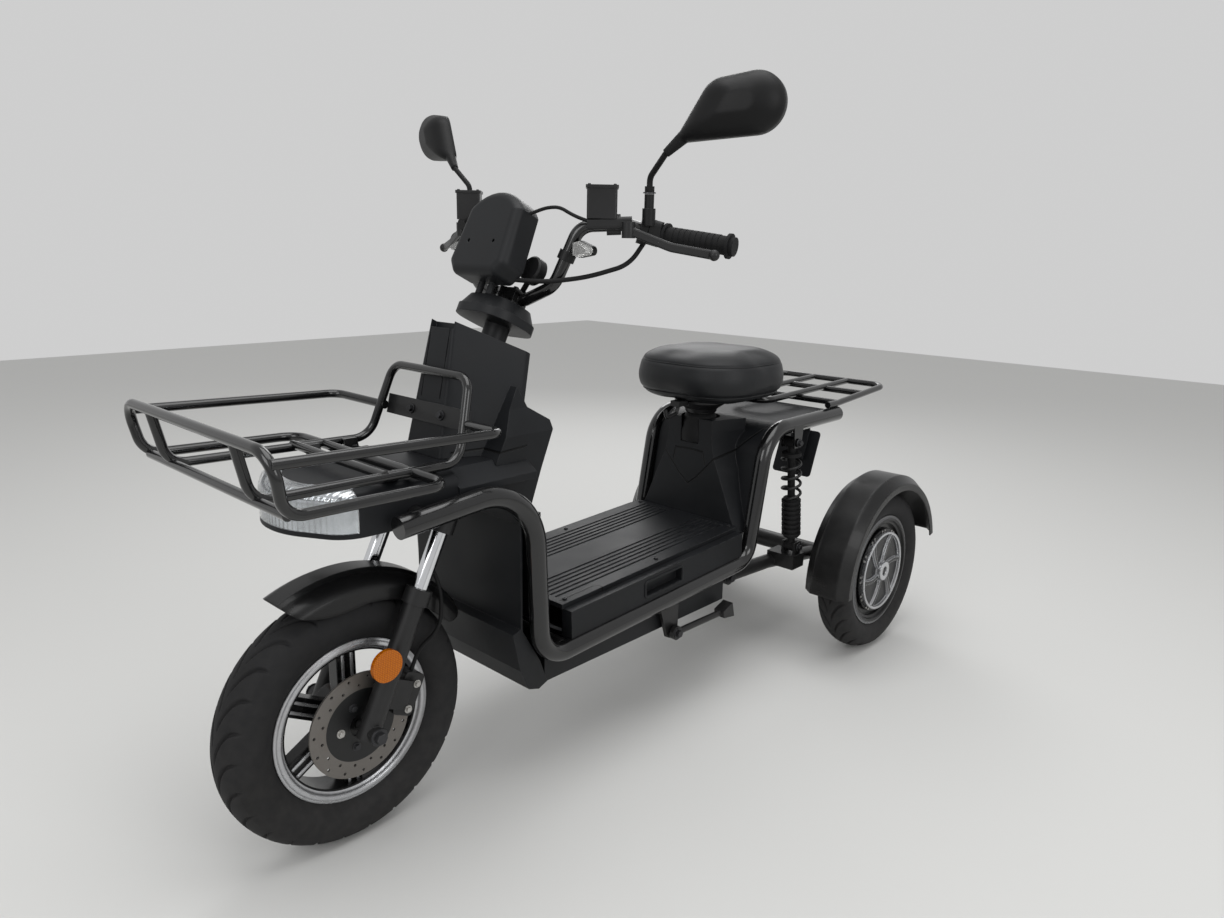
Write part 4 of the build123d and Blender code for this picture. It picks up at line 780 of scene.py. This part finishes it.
front_section = (0.218, 0.092, 720, 26, 0.30)
rear_section = (0.204, 0.084, 640, 26, 0.28)
half_track = 0.277
tyres = [
    # name, solid, body, axle, middle, and the section: outer radius, width, steps, grooves, sweep
    ("front_tyre_tread", "front_tyre", "front_wheel", front_axle, 0.0, *front_section),
    ("rear_tyre_tread_left", "rear_tyre_left", "rear_wheel_left", rear_axle, half_track, *rear_section),
    ("rear_tyre_tread_right", "rear_tyre_right", "rear_wheel_right", rear_axle, -half_track, *rear_section),
]
print("faces of the tyres:", [tread_tyre(*row) for row in tyres])

# %% [markdown]
# The stuffed saddle
#
# A saddle is foam under a stretched skin. The solid is copied a little smaller, cut into
# even small faces, and its upper edge is pulled out. Then it is blown up as cloth with air
# inside, so the top crowns and the edges round by themselves. The skin is as stiff in
# shear as in pull, or the square faces would let it swell along their diagonals. How far a
# point may travel is capped, which keeps the shape.

# %% Mix the saddle's vinyl
def vinyl_finish():
    vinyl = new_material("seat_vinyl")
    tree = vinyl.node_tree
    shader = shader_of(vinyl)
    shader.inputs["Specular IOR Level"].default_value = 0.3
    place = piece_place(tree)
    clouds = noise(tree, place, 8, 4)
    pores = node(tree, "ShaderNodeTexVoronoi", {"Vector": place, "Scale": 520.0}).outputs["Distance"]
    dark, light = (0.0065, 0.0070, 0.0080, 1), (0.0100, 0.0106, 0.0120, 1)
    colour = mix(tree, ramp(tree, clouds, 0.35, 0.65), dark, light)
    colour = mix(tree, ramp(tree, pores, 0.0, 0.25, 0.35, 0.0), colour, (0.003, 0.003, 0.0035, 1))
    creased = bumped(tree, noise(tree, place, 30, 4), 0.0002, bumped(tree, pores, 0.00016))
    tree.links.new(colour, shader.inputs["Base Color"])
    tree.links.new(ramp(tree, clouds, 0.3, 0.7, 0.40, 0.52), shader.inputs["Roughness"])
    tree.links.new(creased, shader.inputs["Normal"])
    return vinyl


finishes["vinyl"] = vinyl_finish()
print("finishes in all:", len(finishes))

# %% Blow up the saddle
low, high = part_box("saddle")
middle = (low + high) / 2
tall = high.z - low.z
shrink = 0.976
face_size = 0.005
pulled_at = 0.86
pulled_over = 0.24
pulled_out = 0.009
air_pressure = 4
skin_stiffness = 30
air_steps = 20
cap = 0.003
smooth_steps = 12


def made_solid(piece):
    graph = bpy.context.evaluated_depsgraph_get()
    mesh = bpy.data.meshes.new_from_object(piece.evaluated_get(graph))
    piece.modifiers.clear()
    piece.data = mesh


def outward(place):
    way = Vector((place.x - middle.x, place.y - middle.y, 0))
    return way.normalized() if way.length > 0.03 else Vector((0, 0, 0))


def smoothed(mesh, steps):
    built = bmesh.new()
    built.from_mesh(mesh)
    every_axis = {"use_axis_x": True, "use_axis_y": True, "use_axis_z": True}
    for step in range(steps):
        bmesh.ops.smooth_vert(built, verts=built.verts, factor=0.5, **every_axis)
    built.to_mesh(mesh)
    built.free()


pad_mesh = nodes["saddle"].data.copy()
pad_mesh.materials.clear()
pad_mesh.transform(Matrix.Translation(middle) @ Matrix.Scale(shrink, 4) @ Matrix.Translation(-middle))
pad = shape_object("saddle_pad", pad_mesh)
weld = pad.modifiers.new("weld", "WELD")
weld.merge_threshold = 0.0001
cut = pad.modifiers.new("cut", "REMESH")
cut.mode = "VOXEL"
cut.voxel_size = face_size
made_solid(pad)
for vertex in pad.data.vertices:
    part = (vertex.co.z - low.z) / tall
    pull = max(0.0, 1 - abs(part - pulled_at) / pulled_over)
    vertex.co += outward(vertex.co) * pulled_out * pull
start = [vertex.co.copy() for vertex in pad.data.vertices]
cloth = pad.modifiers.new("air", "CLOTH")
cloth.settings.use_pressure = True
cloth.settings.uniform_pressure_force = air_pressure
cloth.settings.effector_weights.gravity = 0
cloth.settings.tension_stiffness = skin_stiffness
cloth.settings.compression_stiffness = skin_stiffness
cloth.settings.shear_stiffness = skin_stiffness
cloth.point_cache.frame_end = air_steps
for step in range(1, air_steps + 1):
    bpy.context.scene.frame_set(step)
made_solid(pad)
for vertex, before in zip(pad.data.vertices, start):
    moved = vertex.co - before
    if moved.length > cap:
        vertex.co = before + moved * (cap / moved.length)
smoothed(pad.data, smooth_steps)
finer = pad.modifiers.new("finer", "SUBSURF")
finer.levels = 1
finer.render_levels = 1
made_solid(pad)
print("saddle points:", len(start), "made finer:", len(pad.data.vertices))

# %% [markdown]
# The saddle's seams
#
# The cover is sewn from three parts: a top, a side band and an under side. At each seam the
# skin is drawn in, and a piping runs round in it. The piping's path is found by rays shot
# at the saddle from all round, evened out a little, so that it lies on the skin.

# %% Sew the saddle
seams = [
    # height above the saddle's foot, how deep, how wide, piping radius
    (0.017, 0.0030, 0.009, 0.0020),
    (0.085, 0.0016, 0.006, 0.0011),
]
for height, deep, wide, piping in seams:
    for vertex in pad.data.vertices:
        gap = abs(vertex.co.z - low.z - height) / wide
        if gap < 1:
            vertex.co -= outward(vertex.co) * deep * (1 - gap) ** 2 * (1 + 2 * gap)
for polygon in pad.data.polygons:
    polygon.use_smooth = True
pad.data.materials.append(finishes["vinyl"])
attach(pad, "vehicle")
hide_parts("saddle")
print("seams:", len(seams))

# %% Lay the piping in the seams
bpy.context.view_layer.update()
ways = 144
ray_start = 0.4
evened_over = (-2, -1, 0, 1, 2)


def skin_reach(heart, index):
    turn = index * whole_turn / ways
    way = Vector((cos(turn), sin(turn), 0))
    place = pad.ray_cast(heart + way * ray_start, -way)[1]
    return (place - heart).length


def lay_piping(name, heart, piping):
    reaches = [skin_reach(heart, index) for index in range(ways)]
    line = bpy.data.curves.new(name, "CURVE")
    line.dimensions = "3D"
    line.bevel_depth = piping
    line.bevel_resolution = 3
    spline = line.splines.new("POLY")
    spline.points.add(ways - 1)
    for index, point in enumerate(spline.points):
        near = [reaches[(index + shift) % ways] for shift in evened_over]
        even = sum(near) / len(near) + piping * 0.2
        turn = index * whole_turn / ways
        point.co = (heart.x + even * cos(turn), heart.y + even * sin(turn), heart.z, 1)
    spline.use_cyclic_u = True
    piece = shape_object(name, line)
    line.materials.append(finishes["vinyl"])
    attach(piece, "vehicle")


for index, (height, deep, wide, piping) in enumerate(seams):
    lay_piping("saddle_piping_" + str(index), Vector((middle.x, middle.y, low.z + height)), piping)
print("piping rings:", len(seams))

# %% [markdown]
# Turned pieces round the seat post
#
# A cup under the saddle spreads its load onto the post, and a rubber boot closes the hole
# where the post enters the tower. Both are turned shapes: a few points give the outline,
# and one spin about the post makes the wall.

# %% Turn the cup and the boot
def turned_piece(name, outline, middle, finish):
    built = bmesh.new()
    foot = Vector(middle)
    points = [built.verts.new(foot + Vector((radius, 0, rise))) for rise, radius in outline]
    for here, there in zip(points, points[1:] + points[:1]):
        built.edges.new((here, there))
    spun_round(built, middle, (0, 0, 1), 64, same_point)
    piece = add_piece(name, built, finish, "vehicle", smooth=True)
    bevel = piece.modifiers.new("soft_edges", "BEVEL")
    bevel.width = 0.0008
    bevel.segments = 2


post_low, post_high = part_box("seat_post")
post_x = (post_low.x + post_high.x) / 2
post_r = (post_high.x - post_low.x) / 2
post_gap = 0.0006
bore = post_r + post_gap
# Each point is a height over the saddle's foot and a radius
cup = [(-0.004, bore), (-0.004, 0.062), (-0.010, 0.062), (-0.026, 0.038), (-0.034, 0.036), (-0.034, bore)]
boot = [
    (-0.102, bore), (-0.102, 0.0445), (-0.078, 0.0450), (-0.066, 0.0410), (-0.060, 0.0415),
    (-0.050, 0.0370), (-0.045, 0.0372), (-0.038, 0.0335), (-0.036, bore),
]
turned_piece("saddle_cup", cup, (post_x, 0, low.z), "satin_paint")
turned_piece("seat_post_boot", boot, (post_x, 0, low.z), "soft_rubber")
print("seat post radius:", round(post_r, 4))

# %% [markdown]
# Bolts, nuts and screws
#
# Two shapes serve for all: a hexagon bolt on a washer, and a round cap screw with a
# hollow for its key. Each is made once, one unit in radius, from a capped cone with its
# edges bevelled, and copied to every place. Each row says where the head sits, which way
# it points, and its radius. The fasteners of one body and one finish make one piece.

# %% Make one bolt and one screw
def all_edges(points):
    return list({edge for point in points for edge in point.link_edges})


def raised_disc(built, segments, foot_radius, top_radius, bottom, top):
    place = Matrix.Translation((0, 0, (bottom + top) / 2))
    made = bmesh.ops.create_cone(
        built, cap_ends=True, segments=segments, radius1=foot_radius, radius2=top_radius,
        depth=top - bottom, matrix=place,
    )
    return made["verts"]


washer_foot = 1.5
washer_top = 1.42
washer_high = 0.3
bolt_high = 1.1
screw_high = 0.7


def hexagon_bolt():
    built = bmesh.new()
    raised_disc(built, 24, washer_foot, washer_top, 0, washer_high)
    head = raised_disc(built, 6, 1, 1, washer_high, bolt_high)
    rounded(built, all_edges(head), 0.1, 2)
    return built


def cap_screw():
    built = bmesh.new()
    head = raised_disc(built, 24, 1, 1, 0, screw_high)
    rim = [edge for edge in all_edges(head) if all(point.co.z > screw_high / 2 for point in edge.verts)]
    rounded(built, rim, 0.22, 3)
    top = max(built.faces, key=lambda face: face.calc_center_median().z)
    bmesh.ops.inset_region(built, faces=[top], thickness=0.3, depth=0)
    bmesh.ops.inset_region(built, faces=[top], thickness=0.02, depth=-0.35)
    return built


shapes = {}
for name, maker in (("bolt", hexagon_bolt), ("screw", cap_screw)):
    shapes[name] = bpy.data.meshes.new(name + "_shape")
    built = maker()
    built.to_mesh(shapes[name])
    built.free()
print({name: len(mesh.polygons) for name, mesh in shapes.items()})

# %% Places and ways for the fasteners
steel = "dark_steel"
steer_up = Vector((-0.43837, 0, 0.89879))
steer_back = Vector((-0.89879, 0, -0.43837))
left = Vector((0, 1, 0))
up = Vector((0, 0, 1))
facet = Vector((0.9767, 0, 0.2146))


def steer_point(along, behind, aside):
    return front_axle + steer_up * along + steer_back * behind + left * aside


# The way out from an axle at this many degrees, seen from the side
def around(degrees):
    return Vector((sin(radians(degrees)), 0, cos(radians(degrees))))


def both_sides(rows):
    flip = Vector((1, -1, 1))
    mirrored = [(shape, finish, place * flip, way * flip, size) for shape, finish, place, way, size in rows]
    return rows + mirrored


bar_middle = steer_point(0.762, 0.030, 0)
clamp_top = bar_middle + steer_up * 0.0172 + left * 0.026
mirror_foot = Vector((-0.1067, 0.236, 0.1813))
lid_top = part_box("brake_levers")[1].z
print("bar middle:", [round(value, 4) for value in bar_middle])

# %% Say where the wheels' fasteners go
rotor_bolts_out = 0.037
rotor_face = 0.0498
hub_screws_out = 0.030
hub_face = 0.042
lug_out = 0.1030
lug_pair = 3.6
drum_face = 0.3062
front_rows = []
for index in range(5):
    way = around(72 * index + 20)
    finish = "zinc" if index in (1, 3) else steel
    bolt_place = front_axle + way * rotor_bolts_out + left * rotor_face
    screw_place = front_axle + way * hub_screws_out - left * hub_face
    front_rows.append(("bolt", finish, bolt_place, left, 0.0050))
    front_rows.append(("screw", steel, screw_place, -left, 0.0050))
fastener_rows = {"front_wheel": front_rows, "steering": [], "vehicle": []}
fastener_rows["side_stand"] = [("bolt", steel, Vector((-0.002, 0.173, 0.199)), left, 0.008)]
for name, side in (("rear_wheel_left", left), ("rear_wheel_right", -left)):
    hub = rear_axle + side * drum_face
    angles = [pair * 30 + shift for pair in range(12) for shift in (-lug_pair, lug_pair)]
    lugs = [hub + around(angle) * lug_out for angle in angles]
    fastener_rows[name] = [("screw", "zinc", place, side, 0.0030) for place in lugs]
    fastener_rows[name].append(("bolt", "zinc", hub, side, 0.0076))
print("fasteners:", {name: len(rows) for name, rows in fastener_rows.items()})

# %% Say where the other fasteners go
fastener_rows["steering"] = both_sides([
    ("bolt", steel, front_axle + left * 0.103, left, 0.010),
    ("screw", "zinc", steer_point(0.352, -0.0215, 0.075), -steer_back, 0.0040),
    ("screw", steel, clamp_top + steer_back * 0.010, steer_up, 0.0048),
    ("screw", steel, clamp_top - steer_back * 0.010, steer_up, 0.0048),
    ("bolt", steel, bar_middle + mirror_foot, Vector((0.04, 0.04, 1)), 0.0072),
]) + [
    ("bolt", "zinc", steer_point(0.040, 0.062, 0.0752), left, 0.0048),
    ("bolt", "zinc", steer_point(0.084, 0.062, 0.0752), left, 0.0048),
]
# The reservoir lids are turned a little, and each has a screw near each corner
lid_behind = 0.0572
lid_aside = 0.1759
half_long = 0.021
half_wide = 0.018
lid_cos = 0.719
lid_sin = 0.693
for side in (-1, 1):
    for a, b in ((-1, -1), (-1, 1), (1, -1), (1, 1)):
        ahead = bar_middle.x - lid_behind - lid_sin * half_long * a + lid_cos * half_wide * b
        aside = side * (lid_aside + lid_cos * half_long * a + lid_sin * half_wide * b)
        place = Vector((ahead, aside, lid_top))
        fastener_rows["steering"].append(("screw", steel, place, up, 0.0026))
fastener_rows["vehicle"] = both_sides([
    ("bolt", steel, Vector((0.4897, 0.042, 0.7085)), facet, 0.0058),
    ("bolt", steel, Vector((0.636, 0.101, 0.6403)), up, 0.0048),
    ("bolt", steel, Vector((0.566, 0.101, 0.6403)), up, 0.0048),
    ("bolt", steel, Vector((-0.452, 0.1838, 0.281)), left, 0.007),
    ("bolt", steel, Vector((-0.420, 0.1838, 0.546)), left, 0.007),
    ("bolt", steel, Vector((-0.242, 0.132, 0.246)), left, 0.010),
    ("screw", steel, Vector((0.290, 0.133, 0.3509)), up, 0.0044),
    ("screw", steel, Vector((0.030, 0.133, 0.3624)), up, 0.0044),
    ("screw", steel, Vector((-0.225, 0.133, 0.3737)), up, 0.0044),
])
print("fasteners in all:", {name: len(rows) for name, rows in fastener_rows.items()})

# %% Set the fasteners
slots = {steel: "satin_black", "zinc": "chrome"}
for body, rows in fastener_rows.items():
    for finish, slot in slots.items():
        chosen = [row for row in rows if row[1] == finish]
        if not chosen:
            continue
        built = bmesh.new()
        for shape, finish_name, place, way, radius in chosen:
            before = len(built.verts)
            built.from_mesh(shapes[shape])
            built.verts.ensure_lookup_table()
            turned = way.normalized().to_track_quat("Z", "X").to_matrix().to_4x4()
            fitted = Matrix.Translation(place) @ turned @ Matrix.Scale(radius, 4)
            bmesh.ops.transform(built, matrix=fitted, verts=built.verts[before:])
        add_piece(f"fasteners_{finish}_{body}", built, finish, body)
print("fasteners set on:", list(fastener_rows))

# %% [markdown]
# The display
#
# The pod's back has a shallow recess for a display. The glass is one square face with its
# corners rounded by a bevel, drawn out to a thin plate and bevelled once more, sunk just
# below the rim of the recess. It is off, so it is only dark.

# %% Tools for thin plates
# One square face with rounded corners
def round_cornered(width, height, corner, segments):
    built = bmesh.new()
    bmesh.ops.create_grid(built, x_segments=1, y_segments=1, size=0.5)
    bmesh.ops.scale(built, vec=(width, height, 1), verts=built.verts)
    rounded(built, list(built.verts), corner, segments, affect="VERTICES")
    return built


# Draws the faces out and gives the edges round their new top
def raised_rim(built, rise):
    raised = bmesh.ops.extrude_face_region(built, geom=list(built.faces))
    points = [item for item in raised["geom"] if isinstance(item, bmesh.types.BMVert)]
    bmesh.ops.translate(built, verts=points, vec=(0, 0, rise))
    return [edge for edge in built.edges if all(point.co.z > rise / 2 for point in edge.verts)]


# Turns a shape's X, Y and Z to these three ways and sets it in its place
def set_in_place(built, place, across, along, out):
    turned = Matrix((across, along, out)).transposed().to_4x4()
    fitted = Matrix.Translation(place) @ turned
    bmesh.ops.transform(built, matrix=fitted, verts=built.verts)


print("plate tools ready")

# %% Fit the display
glass_wide = 0.0948
glass_high = 0.0608
glass_corner = 0.0075
glass_thick = 0.0022
glass_edge = 0.0006
glass_sunk = 0.0029
built = round_cornered(glass_wide, glass_high, glass_corner, 8)
rounded(built, raised_rim(built, glass_thick), glass_edge, 2)
display_middle = steer_point(0.862, -0.016, 0) - steer_back * glass_sunk
set_in_place(built, display_middle, -left, steer_up, steer_back)
glass = add_piece("display_glass", built, "display_glass", "steering")
print("display faces:", len(glass.data.polygons))

# %% [markdown]
# The slot frames and the plate holder
#
# Each side panel has a slot, a hand hold with a raised rim round it. The rim is a flat face
# with rounded corners, inset so that a ring is left, drawn out by two millimetres and
# bevelled. A plain plate hangs on the bracket at the back, with nothing on it.

# %% Make the slot frames
slot_middle = Vector((0.0427, 0.168, 0.3258))
slot_slope = 0.0442
frame_wide = 0.122
frame_high = 0.038
frame_corner = 0.008
rim_wide = 0.0048
rim_rise = 0.0022
rim_edge = 0.0009
sunk = 0.0002


def slot_frame(side):
    built = round_cornered(frame_wide, frame_high, frame_corner, 6)
    inside = list(built.faces)
    bmesh.ops.inset_region(
        built, faces=inside, use_boundary=True, use_even_offset=True, thickness=rim_wide, depth=0
    )
    bmesh.ops.delete(built, geom=inside, context="FACES_ONLY")
    rim = raised_rim(built, rim_rise)
    rounded(built, [edge for edge in rim if edge.calc_face_angle(0) > 1], rim_edge, 3)
    along = Vector((-cos(slot_slope), 0, sin(slot_slope)))
    out = left * side
    place = Vector((slot_middle.x, (slot_middle.y - sunk) * side, slot_middle.z))
    set_in_place(built, place, along, out.cross(along), out)
    return built


for name, side in (("slot_frame_left", 1), ("slot_frame_right", -1)):
    ring = add_piece(name, slot_frame(side), "panel_plastic", "vehicle")
    print(name, "faces:", len(ring.data.polygons))

# %% Hang the plate holder
holder_top = Vector((-0.7405, 0, 0.507))
holder_foot = Vector((-0.6960, 0, 0.388))
holder_wide = 0.118
holder_thick = 0.0024
holder_corner = 0.010
clear = 0.0036
lean = (holder_top - holder_foot).normalized()
behind = Vector((-lean.z, 0, lean.x))
built = bmesh.new()
bmesh.ops.create_cube(built, size=1)
holder_size = (holder_wide, holder_thick, (holder_top - holder_foot).length)
bmesh.ops.scale(built, vec=holder_size, verts=built.verts)
ends = [(edge, abs(edge.verts[0].co.y - edge.verts[1].co.y)) for edge in built.edges]
rounded(built, [edge for edge, deep in ends if deep > holder_thick / 2], holder_corner, 5)
set_in_place(built, (holder_top + holder_foot) / 2 + behind * clear, left, lean.cross(left), lean)
plate = add_piece("plate_holder", built, "panel_plastic", "vehicle")
print("plate faces:", len(plate.data.polygons))
